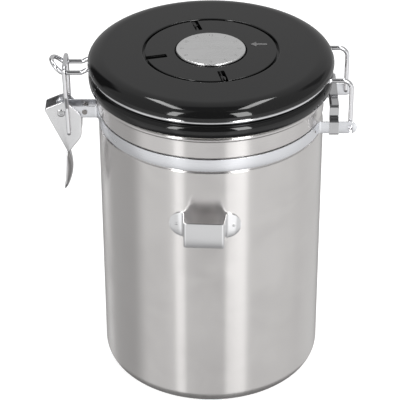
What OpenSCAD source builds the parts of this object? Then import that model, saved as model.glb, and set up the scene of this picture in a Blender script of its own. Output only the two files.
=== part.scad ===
// Stainless steel coffee canister with a black clip-down lid, a date dial in
// the lid and a one-way gas valve under it. Millimetres, +Z up. The origin is
// the middle of the flat base. The latch is at -X, the hinge at +X and the
// scoop hook at -Y.

/* [Canister body] */
// Outside radius of the steel body
body_r = 62; // [58:0.5:66]
// Height of the rolled rim above the base
body_h = 176.9; // [150:0.5:195]
// Thickness of the steel sheet
wall_t = 0.6; // [0.4:0.05:0.9]
// Outside radius of the rounded base corner
base_corner_r = 8.3; // [5:0.1:12]
// Mean radius of the stiffening bead pressed into the floor
floor_bead_r = 43; // [30:0.5:46]
// Width of the floor bead
floor_bead_w = 7; // [4:0.5:10]
// Height of the floor bead above the base
floor_bead_d = 1.1; // [0.6:0.1:1.6]
// Section radius of the rolled rim
rim_r = 1.6; // [1.3:0.05:1.8]

/* [Strap] */
// Height of the strap band
strap_h = 7.1; // [6:0.1:8]
// Thickness of the strap sheet
strap_t = 0.8; // [0.6:0.05:1]
// From the rim down to the middle of the strap
strap_drop = 17.9; // [15:0.1:22]
// Depth of the seat pressed into the wall for the strap
seat_d = 0.6; // [0.4:0.05:0.8]
// Width of the seat left open above and below the strap
seat_gap = 0.8; // [0.5:0.1:1.2]
// Bend radius where the strap turns outwards
strap_bend_r = 2.4; // [1.8:0.1:3]
// Radius of the spot welds
weld_r = 1.3; // [1:0.1:1.6]

/* [Hinge] */
// From the body wall out to the hinge axis
hinge_reach = 13.6; // [13:0.1:15]
// From the middle plane to each hinge ear
ear_y = 21.5; // [19:0.1:23]
// Width of the tie strip that holds the two ears together
tie_w = 5.2; // [4:0.1:6]
// From the hinge axis in to the middle of the tie strip
tie_set = 8.9; // [8.4:0.1:9.4]
// Height of the tie strip's bridge above the ears
tie_arch = 8.5; // [5:0.1:9]
// From the outside of each ear in to the bridge's uprights
tie_step = 3.7; // [3:0.1:5]

/* [Latch] */
// From the body wall out to the lever's pivot
pivot_reach = 20.4; // [19.5:0.1:22]
// From the middle plane to each latch tab
tab_y = 3.9; // [3.5:0.05:4.2]
// Outside width of the lever
lever_w = 11.1; // [10.8:0.05:11.5]
// Height of the lever's channel from top to tip
lever_h = 33; // [31.5:0.1:33.5]
// Thickness of the lever sheet
lever_t = 0.8; // [0.6:0.05:0.9]
// Radius of the pivot rivet
pivot_r = 1.9; // [1.6:0.05:2.1]
// Length of the finger tab
finger_l = 26; // [22:0.5:30]
// Width of the finger tab
finger_w = 12; // [11:0.1:12.2]
// Depth of the dish pressed into the finger tab
finger_dish = 3.6; // [2.5:0.1:4.2]

/* [Wire] */
// Radius of the lid wire and of the latch link
wire_r = 1.25; // [1.1:0.05:1.3]
// Half width of the lid wire's loop at the latch
loop_y = 6.55; // [6.4:0.05:6.7]
// Drop of the loop's arms below the lid groove
loop_drop = 1.6; // [1:0.1:2]
// Upward bend of the loop's end
loop_tip_a = 42; // [36:1:46]
// Half width of the link at its crossbar
link_y = 9.3; // [9.2:0.05:9.8]
// Rest gap between the crossbar and the loop's arms
link_rest_gap = 0.9; // [0.85:0.05:1.1]

/* [Lid] */
// Overhang of the lid past the body wall
lid_overhang = 5.1; // [4.6:0.1:5.6]
// Height of the lid's lower band
band_h = 6.9; // [6:0.1:8]
// Slant of the lower band, wider at the top
band_slant = 1; // [0.4:0.1:1.4]
// Height of the groove that holds the lid wire
groove_h = 3.5; // [3.3:0.1:4]
// Height of the domed top above the groove
dome_h = 7.1; // [6.5:0.1:9]
// Radius where the flat top turns into the rounded shoulder
crown_r = 58; // [56:0.5:60]
// Wall thickness of the lid mouldings
lid_t = 1.8; // [1.5:0.1:2.2]
// Depth of the plug below the rim
plug_d = 7.9; // [6:0.1:8.2]
// How much the plug narrows down to its lower end
plug_taper = 2.8; // [2.3:0.1:5.3]
// Gap between the seal and the rim
seal_gap = 0.2; // [0.1:0.05:0.3]
// Thickness of the seal
seal_t = 1.45; // [1.2:0.05:1.6]

/* [Date dial] */
// Radius of the dial disc
dial_r = 18.9; // [17:0.1:20]
// Height of the dial disc above the lid's top
dial_proud = 0.8; // [0.5:0.1:1.2]
// Outside radius of the cover ring round the dial
cover_r = 36.2; // [34:0.1:38]
// Width of the open line round the cover ring
cover_gap = 0.6; // [0.4:0.05:0.9]
// Thickness of the cover ring
cover_t = 1.95; // [1.6:0.05:2.2]
// Width of the three vent slots
slot_w = 3.8; // [3.4:0.1:4.4]
// Radius where the vent slots start
slot_r = 24.6; // [23:0.1:26]
// Radius of the dial's stem
stem_r = 3; // [2.5:0.1:3.5]

/* [Gas valve] */
// Radius of the valve's hole in the plug floor
valve_r = 11; // [10.5:0.1:12]
// Radius of the soft valve disc
valve_disc_r = 8; // [7.6:0.1:8.2]
// Lift of the soft valve disc
valve_lift = 0.6; // [0.4:0.05:0.8]

/* [Scoop hook] */
// Height of the hook's middle above the base
hook_z = 121.8; // [90:0.5:128]
// Height of the hook's strip
hook_h = 15; // [12:0.5:18]
// Outside width of the hook's front plate
hook_w = 21.8; // [18:0.1:26]
// From the wall out to the front of the plate
hook_reach = 10.6; // [8:0.1:14]
// Length of each ear on the wall
hook_ear = 8.4; // [7:0.1:10]
// Thickness of the hook's strip
hook_t = 0.8; // [0.6:0.05:1]
// Turn of the hook round the body from the front
hook_turn = -3; // [-10:0.5:10]

/* [Hidden] */
$fn = 96;

// Colours
steel = [0.72, 0.71, 0.70];
bright = [0.84, 0.85, 0.86];
black = [0.13, 0.13, 0.14];
soft_grey = [0.75, 0.75, 0.73];

// Clearances
fit_gap = 0.05;  // pieces fixed to each other
run_gap = 0.05;  // pins and stems that turn in a hole
joint_swell = 0.01;  // swelling where two lengths of wire or strip join
lift_gap = 0.1;  // mouldings that slip into each other

// Strap and its seat
strap_z = body_h - strap_drop;
strap_mid_r = body_r - seat_d + fit_gap + strap_t / 2;
seat_h = strap_h + 2 * seat_gap;

// Hinge
hinge_x = body_r + hinge_reach;
pin_bend_r = 1.8;   // bend of the lid wire into the ear
ear_clear = 0.2;
leg_y = ear_y - strap_t / 2 - ear_clear - pin_bend_r;
tie_x = hinge_x - tie_set;

// Latch
pivot_x = -(body_r + pivot_reach);
lever_k = lever_h / 33;  // the lever's corners are given at a height of 33
link_pin = lever_k * [4, -12.2];   // from the pivot to the link's pins, X and Z
cross_x = 12.9;          // from the pivot to the strap's rivet

// Heights in the lid
seal_z = body_h + seal_gap;
seat_z = seal_z + seal_t + fit_gap;
band_lift = 0.9;         // open line between the rim and the band
band_z = body_h + band_lift;
groove_z = band_z + band_h;
dome_z = groove_z + groove_h;
lid_z = dome_z + dome_h;
plug_z = body_h - plug_d;

// Radii in the lid
lid_r = body_r + lid_overhang;
band_top_r = lid_r + 0.3;
band_low_r = band_top_r - band_slant;
ring_r = lid_r - 2.7;    // middle of the lid wire in its groove
ring_z = dome_z - 0.55 - wire_r;
neck_r = ring_r - wire_r - lift_gap;
skirt_t = 1.4;
plug_top_r = body_r - 4.7;
plug_r = plug_top_r - plug_taper;

// Loop and link
arm_z = ring_z - loop_drop;
tip_start = pivot_x + 2.6;
link_top = [pivot_x + 3, arm_z + 2 * wire_r + link_rest_gap];
link_low = [pivot_x + link_pin[0], strap_z + link_pin[1]];
link_len = norm(link_top - link_low);
link_lean = atan2(link_top[0] - link_low[0], link_top[1] - link_low[1]);
flange_y = lever_w / 2;

// Dial stack
cover_z = lid_z - 0.2;
cover_low = cover_z - cover_t;
dial_z = lid_z + dial_proud;
dial_t = 1.2;
hub_z = dial_z - dial_t - fit_gap;
hub_t = 1.15;
carrier_t = 1.2;
collar_t = 1.5;
collar_r = dial_r + 0.7;
carrier_z = cover_low - 1.75;
boss_h = 2.7;
clip_t = 0.7;
spring_r = 10;
spring_w = 3.5;
spring_t = 0.35;
spring_finger_l = 10;
spring_finger_w = 1.6;
slot_angles = [105, 195, 282];

// Valve stack
flange_t = 1.25;
flange_w = 3;
housing_low = plug_z - fit_gap - flange_t;
seat_hole_r = 3.5;
cap_seat_h = 2.4;
snap_bead = 0.5;
seat_top = plug_z + lid_t;
disc_t = 0.8;

// Unit vector along v
function unit(v) = v / norm(v);

// Points of an arc round c, from angle a to angle b
function arc(c, r, a, b, n) =
    [for (i = [0 : n]) c + r * [cos(a + (b - a) * i / n), sin(a + (b - a) * i / n)]];

// Points that round the corner p1 between p0 and p2
function corner(p0, p1, p2, r, n) =
    let (u = unit(p0 - p1), v = unit(p2 - p1), half = acos(u * v) / 2,
         c = p1 + unit(u + v) * r / sin(half),
         d = r / tan(half),
         s = p1 + u * d - c, e = p1 + v * d - c,
         a = atan2(s[1], s[0]), raw = atan2(e[1], e[0]) - a,
         turn = raw > 180 ? raw - 360 : raw < -180 ? raw + 360 : raw)
    arc(c, r, a, a + turn, n);

// A polygon's points with each corner rounded by its own radius
function rounded(pts, radii, n = 6) =
    [for (i = [0 : len(pts) - 1])
        each corner(pts[(i + len(pts) - 1) % len(pts)], pts[i], pts[(i + 1) % len(pts)],
                    radii[i], n)];

// Solid of revolution from radius and height points
module turned(points) {
    rotate_extrude() polygon(points);
}

// Flat ring sector from angle a to angle b, under 180 degrees
module sector(r_in, r_out, a, b) {
    far = r_out * 3;
    intersection() {
        difference() {
            circle(r = r_out);
            circle(r = r_in);
        }
        polygon([[0, 0], far * [cos(a), sin(a)],
                 far * [cos((a + b) / 2), sin((a + b) / 2)], far * [cos(b), sin(b)]]);
    }
}

// A pin along Y from y = a to y = b
module pin_y(r, a, b) {
    translate([0, a, 0]) rotate([-90, 0, 0]) cylinder(h = b - a, r = r);
}

// A run of round wire that starts at the origin towards +Z. A step [length] is
// straight. A step [bend radius, angle, side] turns towards that side, which is
// an angle round the wire from its own X. A ball closes each joint and the end.
module wire_run(steps, i = 0) {
    sphere(r = wire_r + joint_swell, $fn = 32);
    if (i < len(steps)) {
        step = steps[i];
        if (len(step) == 1) {
            cylinder(h = step[0], r = wire_r, $fn = 32);
            translate([0, 0, step[0]]) wire_run(steps, i + 1);
        } else {
            rotate([0, 0, step[2]]) {
                translate([step[0], 0, 0]) rotate([90, 0, 180])
                    rotate_extrude(angle = step[1]) translate([step[0], 0]) circle(r = wire_r, $fn = 32);
                translate([step[0], 0, 0]) rotate([0, step[1], 0]) translate([-step[0], 0, 0])
                    rotate([0, 0, -step[2]]) wire_run(steps, i + 1);
            }
        }
    }
}

// Drawn steel cup with a rolled rim, a seat for the strap and a floor bead
module canister_shell() {
    inner_r = body_r - wall_t;
    rim_c = [inner_r + rim_r, body_h - rim_r];
    base_c = [body_r - base_corner_r, base_corner_r];
    seat_low = strap_z - seat_h / 2;
    seat_high = strap_z + seat_h / 2;
    slope = seat_d;
    bead_in = floor_bead_r - floor_bead_w / 2;
    bead_out = floor_bead_r + floor_bead_w / 2;
    color(steel) turned(concat(
        [[0, 0], [bead_in, 0], [bead_in + floor_bead_d, floor_bead_d],
         [bead_out - floor_bead_d, floor_bead_d], [bead_out, 0]],
        arc(base_c, base_corner_r, -90, 0, 12),
        [[body_r, seat_low - slope], [body_r - seat_d, seat_low],
         [body_r - seat_d, seat_high], [body_r, seat_high + slope]],
        arc(rim_c, rim_r - wall_t, 180, -100, 16),
        arc(rim_c, rim_r, -100, 180, 20),
        [[inner_r, seat_high + slope], [inner_r - seat_d, seat_high],
         [inner_r - seat_d, seat_low], [inner_r, seat_low - slope]],
        arc(base_c, base_corner_r - wall_t, 0, -90, 12),
        [[bead_out, wall_t], [bead_out - floor_bead_d, wall_t + floor_bead_d],
         [bead_in + floor_bead_d, wall_t + floor_bead_d], [bead_in, wall_t], [0, wall_t]]));
}

// Hat-shaped strip welded to the wall, with ears that follow the wall
module scoop_hook() {
    wall_r = body_r + fit_gap;
    front = body_r + hook_reach;
    half = hook_w / 2;
    foot = wall_r + 0.4;
    flare = 1.2;
    ear_a = asin((half + flare + hook_ear) / wall_r);
    root_a = asin((half + flare - hook_t) / wall_r);
    color(bright) rotate([0, 0, hook_turn]) {
        translate([0, 0, hook_z - hook_h / 2]) linear_extrude(hook_h) difference() {
            polygon(rounded([[-half - flare, -foot * cos(root_a)], [-half, -front],
                             [half, -front], [half + flare, -foot * cos(root_a)]],
                            [0.2, 1.6, 1.6, 0.2]));
            polygon(rounded([[-half - flare + hook_t, -foot * cos(root_a) + 2],
                             [-half + hook_t, -front + hook_t],
                             [half - hook_t, -front + hook_t],
                             [half + flare - hook_t, -foot * cos(root_a) + 2]],
                            [0.2, 0.8, 0.8, 0.2]));
            circle(r = wall_r);
        }
        for (side = [-1, 1]) intersection() {
            translate([0, 0, hook_z - hook_h / 2]) linear_extrude(hook_h)
                sector(wall_r, wall_r + hook_t, 270 + side * root_a, 270 + side * ear_a);
            union() {
                translate([side * (half + hook_ear - hook_h / 2), 0, hook_z])
                    pin_y(hook_h / 2, -front, 0);
                translate([side * (half + (hook_ear - hook_h) / 2), -front / 2, hook_z])
                    cube([hook_ear, front, hook_h], center = true);
            }
        }
        for (side = [-1, 1])
            rotate([0, 0, side * (root_a + ear_a) / 2]) translate([0, -wall_r - hook_t, hook_z])
                pin_y(weld_r * 0.6, -0.25, 0.1);
    }
}

// The front half of the strap, with a latch tab and a hinge ear
module strap_half() {
    bend = strap_mid_r + strap_bend_r;
    tab_a = asin((tab_y + strap_bend_r) / bend);
    ear_a = asin((ear_y + strap_bend_r) / bend);
    tab_c = [-bend * cos(tab_a), -tab_y - strap_bend_r];
    ear_c = [bend * cos(ear_a), -ear_y - strap_bend_r];
    in_r = strap_bend_r - strap_t / 2;
    out_r = strap_bend_r + strap_t / 2;
    difference() {
        union() {
            translate([0, 0, strap_z - strap_h / 2]) linear_extrude(strap_h) {
                sector(strap_mid_r - strap_t / 2, strap_mid_r + strap_t / 2, 180 + tab_a, 360 - ear_a);
                translate(tab_c) sector(in_r, out_r, tab_a, 90);
                translate(ear_c) sector(in_r, out_r, 90, 180 - ear_a);
                translate([pivot_x, -tab_y - strap_t / 2]) square([tab_c[0] - pivot_x, strap_t]);
                translate([ear_c[0], -ear_y - strap_t / 2]) square([hinge_x - ear_c[0], strap_t]);
                for (p = [[tab_c[0], -tab_y], [ear_c[0], -ear_y],
                          strap_mid_r * [-cos(tab_a), -sin(tab_a)],
                          strap_mid_r * [cos(ear_a), -sin(ear_a)]])
                    translate(p) circle(r = strap_t / 2 + joint_swell, $fn = 32);
            }
            translate([pivot_x, 0, strap_z])
                pin_y(strap_h / 2, -tab_y - strap_t / 2, -tab_y + strap_t / 2);
            translate([hinge_x, 0, strap_z])
                pin_y(strap_h / 2, -ear_y - strap_t / 2, -ear_y + strap_t / 2);
        }
        translate([pivot_x, 0, strap_z]) pin_y(pivot_r + run_gap, -tab_y - 1, 0);
        translate([pivot_x + cross_x, 0, strap_z]) pin_y(1.1 + fit_gap, -tab_y - 1, 0);
        translate([hinge_x, 0, strap_z]) pin_y(wire_r + run_gap, -ear_y - 1, -ear_y + 1);
    }
    for (a = [300, 335])
        rotate([0, 0, a - 270]) translate([0, -strap_mid_r - strap_t / 2, strap_z])
            pin_y(weld_r * 0.5, -0.15, 0.1);
}

// Front half of the strap
module strap_front() {
    color(bright) strap_half();
}

// Rear half of the strap
module strap_rear() {
    color(bright) mirror([0, 1, 0]) strap_half();
}

// An outline's right side, followed by its mirror image
function both_sides(points) = concat(points, [for (i = [len(points) - 1:-1:0]) [-points[i][0], points[i][1]]]);

// Strip that bridges the two hinge ears and is folded round both
module hinge_tie_strip() {
    side = ear_y + strap_t / 2 + fit_gap;
    low = strap_z - strap_h / 2 - fit_gap;
    ledge = strap_z + strap_h / 2 + fit_gap;
    high = strap_z + strap_h / 2 + tie_arch;
    post = ear_y + strap_t / 2 - tie_step;
    hook = side - 2.4;
    over = [[side + strap_t, low - strap_t], [side + strap_t, ledge + strap_t],
            [post + strap_t, ledge + strap_t], [post + strap_t, high]];
    under = [[side, low], [side, ledge], [post, ledge], [post, high - strap_t]];
    color(bright) translate([tie_x - tie_w / 2, 0, 0]) rotate([90, 0, 90]) linear_extrude(tie_w)
        difference() {
            polygon(rounded(both_sides(over), [1.3, 0.92, 0.4, 1.6, 1.6, 0.4, 0.92, 1.3]));
            polygon(rounded(both_sides(under), [0.12, 0.12, 1.2, 0.8, 0.8, 1.2, 0.12, 0.12]));
            translate([-hook, low - 2 * strap_t]) square([2 * hook, 3 * strap_t]);
        }
}

// Rivet that holds the two latch tabs at their spacing
module strap_rivet() {
    face = tab_y + strap_t / 2 + fit_gap;
    color(bright) translate([pivot_x + cross_x, 0, strap_z]) {
        pin_y(1.1, -face, face);
        for (side = [-1, 1]) pin_y(1.5, min(side * face, side * (face + 0.35)),
                                   max(side * face, side * (face + 0.35)));
        pin_y(1.7, -tab_y + strap_t / 2 + fit_gap, tab_y - strap_t / 2 - fit_gap);
    }
}

// Eyelet rivet that the lever turns on
module latch_pivot_rivet() {
    face = flange_y + run_gap;
    head_t = 0.4;
    color(bright) translate([pivot_x, 0, strap_z]) difference() {
        union() {
            pin_y(pivot_r, -face, face);
            pin_y(pivot_r + 0.6, face, face + head_t);
            pin_y(pivot_r + 0.6, -face - head_t, -face);
        }
        pin_y(0.9, -face - 1, -face + 1);
        pin_y(0.9, face - 1, face + 1);
    }
}

// Side outline of the lever round its pivot, X and Z
function lever_outline() =
    rounded(lever_k * [[-9.4, 2.4], [2.5, 7.6], [11.2, -1.5], [10.8, -15], [3, -25.4]],
            lever_k * [1.5, 5, 6, 8, 0.8]);

// Thin dished plate along -Z from the origin, hollow towards -X
module finger_plate(t, rows = 18, cols = 10) {
    function depth(u, v) = finger_dish * pow(sin(180 * u), 0.8) * (1 - pow(abs(v), 2.4));
    function half(u) = finger_w / 2 * (u < 0.12 ? 0.72 + 0.28 * u / 0.12 : u > 0.8 ?
                       sqrt(1 - pow((u - 0.8) / 0.22, 2)) : 1);
    function lip(u) = u > 0.85 ? -30 * pow(u - 0.85, 2) : 0;
    sheet = [for (face = [0, 1]) for (i = [0 : rows]) for (j = [0 : cols])
        let (u = i / rows, v = 2 * j / cols - 1)
        [depth(u, v) + lip(u) + (face - 0.5) * t, v * half(u), -u * finger_l]];
    w = cols + 1;
    back = (rows + 1) * w;
    function quad(a, b, c, d) = [[a, b, c], [a, c, d]];
    faces = [
        for (i = [0 : rows - 1]) for (j = [0 : cols - 1]) each
            let (a = i * w + j) quad(a, a + w, a + w + 1, a + 1),
        for (i = [0 : rows - 1]) for (j = [0 : cols - 1]) each
            let (a = back + i * w + j) quad(a, a + 1, a + w + 1, a + w),
        for (i = [0 : rows - 1]) each quad(i * w, back + i * w, back + (i + 1) * w, (i + 1) * w),
        for (i = [0 : rows - 1]) each
            quad((i + 1) * w + cols, back + (i + 1) * w + cols, back + i * w + cols, i * w + cols),
        for (j = [0 : cols - 1]) each quad(j + 1, back + j + 1, back + j, j),
        for (j = [0 : cols - 1]) each
            let (a = rows * w + j) quad(a, back + a, back + a + 1, a + 1)];
    polyhedron(sheet, faces);
}

// Pressed channel lever with a dished finger tab
module latch_lever() {
    top = lever_k * [-9.4, 2.4];
    tip = lever_k * [3, -25.4];
    along = unit(tip - top);
    inward = [-along[1], along[0]];
    a = top + inward * lever_t - along * 10;
    b = tip + inward * lever_t - along * 1.5;
    tilt = -4;
    color(bright) translate([pivot_x, 0, strap_z]) {
        difference() {
            translate([0, flange_y, 0]) rotate([90, 0, 0]) linear_extrude(lever_w)
                polygon(lever_outline());
            translate([0, flange_y - lever_t, 0]) rotate([90, 0, 0])
                linear_extrude(lever_w - 2 * lever_t)
                    polygon([a, b, b + inward * 30, a + inward * 30]);
            pin_y(pivot_r + run_gap, -flange_y - 1, flange_y + 1);
            translate([link_pin[0], 0, link_pin[1]])
                pin_y(wire_r + run_gap, -flange_y - 1, flange_y + 1);
        }
        translate([tip[0] - 0.7, 0, tip[1] + 1.2]) rotate([0, -tilt, 0]) finger_plate(lever_t + 0.1);
    }
}

// Wire link from the lever's pins over the lid wire's loop
module latch_link() {
    corner_r = 2.5;
    foot_bend_r = 1.6;
    foot_y = flange_y + 0.45 + foot_bend_r;
    shift_a = 12;
    shift_r = 10;
    shift = link_y - foot_y;
    slant = (shift - 2 * shift_r * (1 - cos(shift_a))) / sin(shift_a);
    shift_l = 2 * shift_r * sin(shift_a) + slant * cos(shift_a);
    straight = link_len - corner_r - foot_bend_r - shift_l;
    low_l = 14;
    steps = [[link_y - corner_r], [corner_r, 90, 0], [straight - low_l],
             [shift_r, shift_a, 0], [slant], [shift_r, shift_a, 180],
             [low_l], [foot_bend_r, 90, 0], [foot_y - foot_bend_r - 4.8]];
    color(bright) translate([link_low[0], 0, link_low[1]]) rotate([0, link_lean, 0])
        for (side = [0, 1]) mirror([0, side, 0])
            translate([0, 0, link_len]) rotate([90, 90, 0]) wire_run(steps);
}

// One wire: hinge pins and legs, the ring in the lid's groove and the latch loop
module lid_wire() {
    out_r = 3;
    drop_r = 2.5;
    drop_a = 30;
    tip_r = 3;
    leg_out_r = 5;
    leg_down_r = 5;
    out_a = asin((loop_y + out_r) / (ring_r + out_r));
    leg_a = asin((leg_y + leg_out_r) / (ring_r + leg_out_r));
    out_x = (ring_r + out_r) * cos(out_a);
    leg_x = (ring_r + leg_out_r) * cos(leg_a);
    slant = (loop_drop - 2 * drop_r * (1 - cos(drop_a))) / sin(drop_a);
    drop_l = 2 * drop_r * sin(drop_a) + slant * cos(drop_a);
    arm = -tip_start - out_x - drop_l;
    loop = [[out_r, 90 - out_a, 0], [drop_r, drop_a, -90], [slant], [drop_r, drop_a, 90],
            [arm], [tip_r, loop_tip_a, 90], [loop_y, 90, 180]];
    leg = [[leg_out_r, 90 - leg_a, 0], [hinge_x - leg_x - leg_down_r],
           [leg_down_r, 90, 90], [ring_z - strap_z - leg_down_r - pin_bend_r],
           [pin_bend_r, 90, 0], [strap_t + ear_clear + 0.4], [pin_bend_r, 60, 180]];
    color(bright) for (side = [0, 1]) mirror([0, side, 0]) translate([0, 0, ring_z]) {
        rotate([0, 0, 180 + out_a]) rotate_extrude(angle = 180 - out_a - leg_a)
            translate([ring_r, 0]) circle(r = wire_r, $fn = 32);
        rotate([0, 0, 180 + out_a]) translate([ring_r, 0, 0]) rotate([90, 0, 0]) wire_run(loop);
        rotate([0, 0, -leg_a]) translate([ring_r, 0, 0]) rotate([-90, 0, 0]) wire_run(leg);
    }
}

// Flat-topped dome with a rounded shoulder, a flange over the groove and a
// stepped opening for the cover ring
module lid_top_shell() {
    edge = 0.9;
    hole_r = cover_r + cover_gap;
    ledge_low = cover_low - fit_gap - lid_t;
    wide = lid_r - crown_r;
    tall = dome_h - edge;
    flange_r = neck_r + lift_gap;
    flange_top = dome_z + 2;
    steps = 12;
    outer = [for (i = [0 : steps]) [crown_r + wide * sin(90 * i / steps),
                                    dome_z + edge + tall * cos(90 * i / steps)]];
    low_a = acos((flange_top - dome_z - edge) / (tall - lid_t));
    inner = [for (i = [steps : -1 : 0]) [crown_r + (wide - lid_t) * sin(low_a * i / steps),
                                         dome_z + edge + (tall - lid_t) * cos(low_a * i / steps)]];
    color(black) turned(concat(
        [[hole_r, lid_z]], outer, [[lid_r - 0.4, dome_z], [flange_r, dome_z], [flange_r, flange_top]],
        inner, [[hole_r + lid_t, lid_z - lid_t], [hole_r + lid_t, ledge_low],
                [hole_r - 3.3, ledge_low], [hole_r - 3.3, cover_low - fit_gap],
                [hole_r, cover_low - fit_gap]]));
}

// Lower band, wire groove, neck and the hollow plug that closes the mouth
module lid_base() {
    deck = seat_z + 2;
    neck_top = dome_z + lid_t;
    edge = 0.5;
    color(black) turned([
        [valve_r, plug_z], [plug_r - 1, plug_z], [plug_r, plug_z + 1], [plug_top_r, seat_z],
        [band_low_r - skirt_t, seat_z], [band_low_r - skirt_t, band_z], [band_low_r - edge, band_z],
        [band_low_r, band_z + edge], [band_top_r, groove_z - edge], [band_top_r - edge, groove_z],
        [neck_r, groove_z], [neck_r, neck_top], [neck_r - 2, neck_top], [neck_r - 2, deck],
        [plug_top_r - lid_t, deck], [plug_r - lid_t, plug_z + lid_t], [valve_r, plug_z + lid_t]]);
}

// Soft ring between the lid and the rolled rim
module lid_gasket() {
    in_r = plug_top_r + 0.25;
    out_r = band_low_r - skirt_t - 0.2;
    lip_r = body_r - wall_t - 1.4;
    lip_d = 0.8;
    color(soft_grey) turned([
        [in_r, seal_z + seal_t], [out_r, seal_z + seal_t], [out_r, seal_z],
        [lip_r + lip_d, seal_z], [lip_r, seal_z - lip_d], [lip_r - 1.6, seal_z - lip_d], [in_r, seal_z]]);
}

// Ring round the dial, with three vent slots and a snap tongue in each
module dial_cover_ring() {
    tongue_w = slot_w - 1.6;
    tongue_t = 1.2;
    sink = 0.55;
    edge = 0.3;
    color(black) {
        difference() {
            turned([[collar_r, cover_low - 1.7], [collar_r + collar_t, cover_low - 1.7],
                    [collar_r + collar_t, cover_low], [cover_r, cover_low],
                    [cover_r, cover_z - edge], [cover_r - edge, cover_z],
                    [collar_r + edge, cover_z], [collar_r, cover_z - edge]]);
            for (a = slot_angles) rotate([0, 0, a]) {
                translate([slot_r, -slot_w / 2, cover_low - 1])
                    cube([cover_r, slot_w, cover_t + 2]);
            }
        }
        for (a = slot_angles) rotate([0, 0, a]) translate([slot_r - 0.5, 0, 0]) {
            translate([0, -tongue_w / 2, cover_z - sink - tongue_t])
                cube([cover_r - slot_r - 2, tongue_w, tongue_t]);
            translate([cover_r - slot_r - 3.4, -tongue_w / 2, cover_z - sink - 0.1])
                cube([1.4, tongue_w, 0.5]);
        }
    }
}

// Raised arrow on the cover ring that points at the dial
module arrow_marker() {
    tip = [21.4, 6.5];
    length = 9.2;
    head = 3.4;
    wide = 2.6;
    shaft = 0.8;
    color([0.5, 0.5, 0.5]) translate([tip[0], tip[1], cover_z + 0.02]) linear_extrude(0.2)
        polygon([[0, 0], [head, wide], [head, shaft], [length, shaft],
                 [length, -shaft], [head, -shaft], [head, -wide]]);
}

// Metal date disc with a bevelled edge
module date_dial() {
    bevel = 0.55;
    low = dial_z - dial_t;
    color([0.75, 0.75, 0.74]) turned([[0, low], [dial_r - 0.2, low], [dial_r, low + 0.2],
        [dial_r, dial_z - bevel], [dial_r - bevel, dial_z], [0, dial_z]]);
}

// Black hub under the date disc with its stem and clip groove
module dial_hub() {
    clip_z = carrier_z - carrier_t - boss_h - fit_gap;
    color(black) turned([
        [0, clip_z - clip_t - 0.8], [stem_r, clip_z - clip_t - 0.8], [stem_r, clip_z - clip_t - fit_gap],
        [stem_r - 0.7, clip_z - clip_t - fit_gap], [stem_r - 0.7, clip_z + fit_gap],
        [stem_r, clip_z + fit_gap], [stem_r, hub_z - hub_t], [dial_r - 0.7, hub_z - hub_t],
        [dial_r - 0.7, hub_z], [0, hub_z]]);
}

// Open spring ring in the stem's groove
module dial_retaining_clip() {
    clip_z = carrier_z - carrier_t - boss_h - fit_gap;
    in_r = stem_r - 0.65;
    color(bright) translate([0, 0, clip_z - clip_t]) linear_extrude(clip_t) difference() {
        circle(r = stem_r + 1.8);
        circle(r = in_r);
        translate([0, -in_r * 0.8]) square([stem_r + 3, in_r * 1.6]);
    }
}

// Plate under the cover ring with the bearing for the stem
module dial_carrier() {
    low = carrier_z - carrier_t;
    color(black) turned([
        [stem_r + run_gap, low - boss_h], [stem_r + 2, low - boss_h], [stem_r + 2, low],
        [collar_r + collar_t, low], [collar_r + collar_t, carrier_z], [stem_r + run_gap, carrier_z]]);
}

// Spring washer with three arched fingers that press on the hub
module detent_spring() {
    t = spring_t;
    low = carrier_z + fit_gap;
    high = hub_z - hub_t - 0.1;
    rise = high - low;
    reach = spring_finger_l / 2;
    color(bright) {
        translate([0, 0, low]) linear_extrude(t) difference() {
            circle(r = spring_r);
            circle(r = spring_r - spring_w);
        }
        for (a = [0, 120, 240]) rotate([0, 0, a])
            translate([spring_r - spring_finger_w / 2 - 0.3, 0, low]) rotate([90, 0, 90])
            linear_extrude(spring_finger_w, center = true)
                polygon([[-reach, 0], [-reach + 1.2, 0], [-0.8, rise - t], [0.8, rise - t],
                         [reach - 1.2, 0], [reach, 0], [1, rise], [-1, rise]]);
    }
}

// Flanged cup that snaps into the plug floor and carries the valve seat
module valve_housing() {
    out_r = valve_r - lift_gap;
    flange_r = valve_r + flange_w;
    bead_z = plug_z + lid_t + fit_gap;
    wide_r = valve_disc_r + 1.2;
    near_r = valve_disc_r + 0.6;
    step_z = seat_top + disc_t + valve_lift + 0.35;
    color(black) turned([
        [seat_hole_r, seat_top - 1.2], [valve_disc_r + 1.5, seat_top - 1.2],
        [valve_disc_r + 1.5, housing_low],
        [flange_r - 0.5, housing_low], [flange_r, housing_low + 0.5], [flange_r, plug_z - fit_gap],
        [out_r, plug_z - fit_gap], [out_r, bead_z], [out_r + snap_bead, bead_z],
        [out_r, bead_z + 1.2],
        [out_r, step_z + cap_seat_h], [wide_r, step_z + cap_seat_h], [wide_r, step_z],
        [near_r, step_z], [near_r, seat_top], [seat_hole_r, seat_top]]);
}

// Soft disc that lifts to let gas out
module valve_disc() {
    low = seat_top + fit_gap;
    color(soft_grey) turned([[0, low], [valve_disc_r - 0.2, low], [valve_disc_r, low + 0.2],
        [valve_disc_r, low + disc_t - 0.2], [valve_disc_r - 0.2, low + disc_t], [0, low + disc_t]]);
}

// Pierced cap over the soft disc
module valve_cap() {
    low = seat_top + disc_t + valve_lift + 0.35 + fit_gap;
    stub = low - (seat_top + fit_gap + disc_t + valve_lift) - 0.05;
    color(black) difference() {
        union() {
            translate([0, 0, low]) cylinder(h = 1.2, r = valve_disc_r + 1.15);
            translate([0, 0, low - stub]) cylinder(h = stub + 0.6, r = 1.6);
        }
        for (i = [0 : 5]) rotate([0, 0, 60 * i]) translate([valve_disc_r * 0.66, 0, low - 1])
            cylinder(h = 4, r = 1.1, $fn = 24);
    }
}

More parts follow.
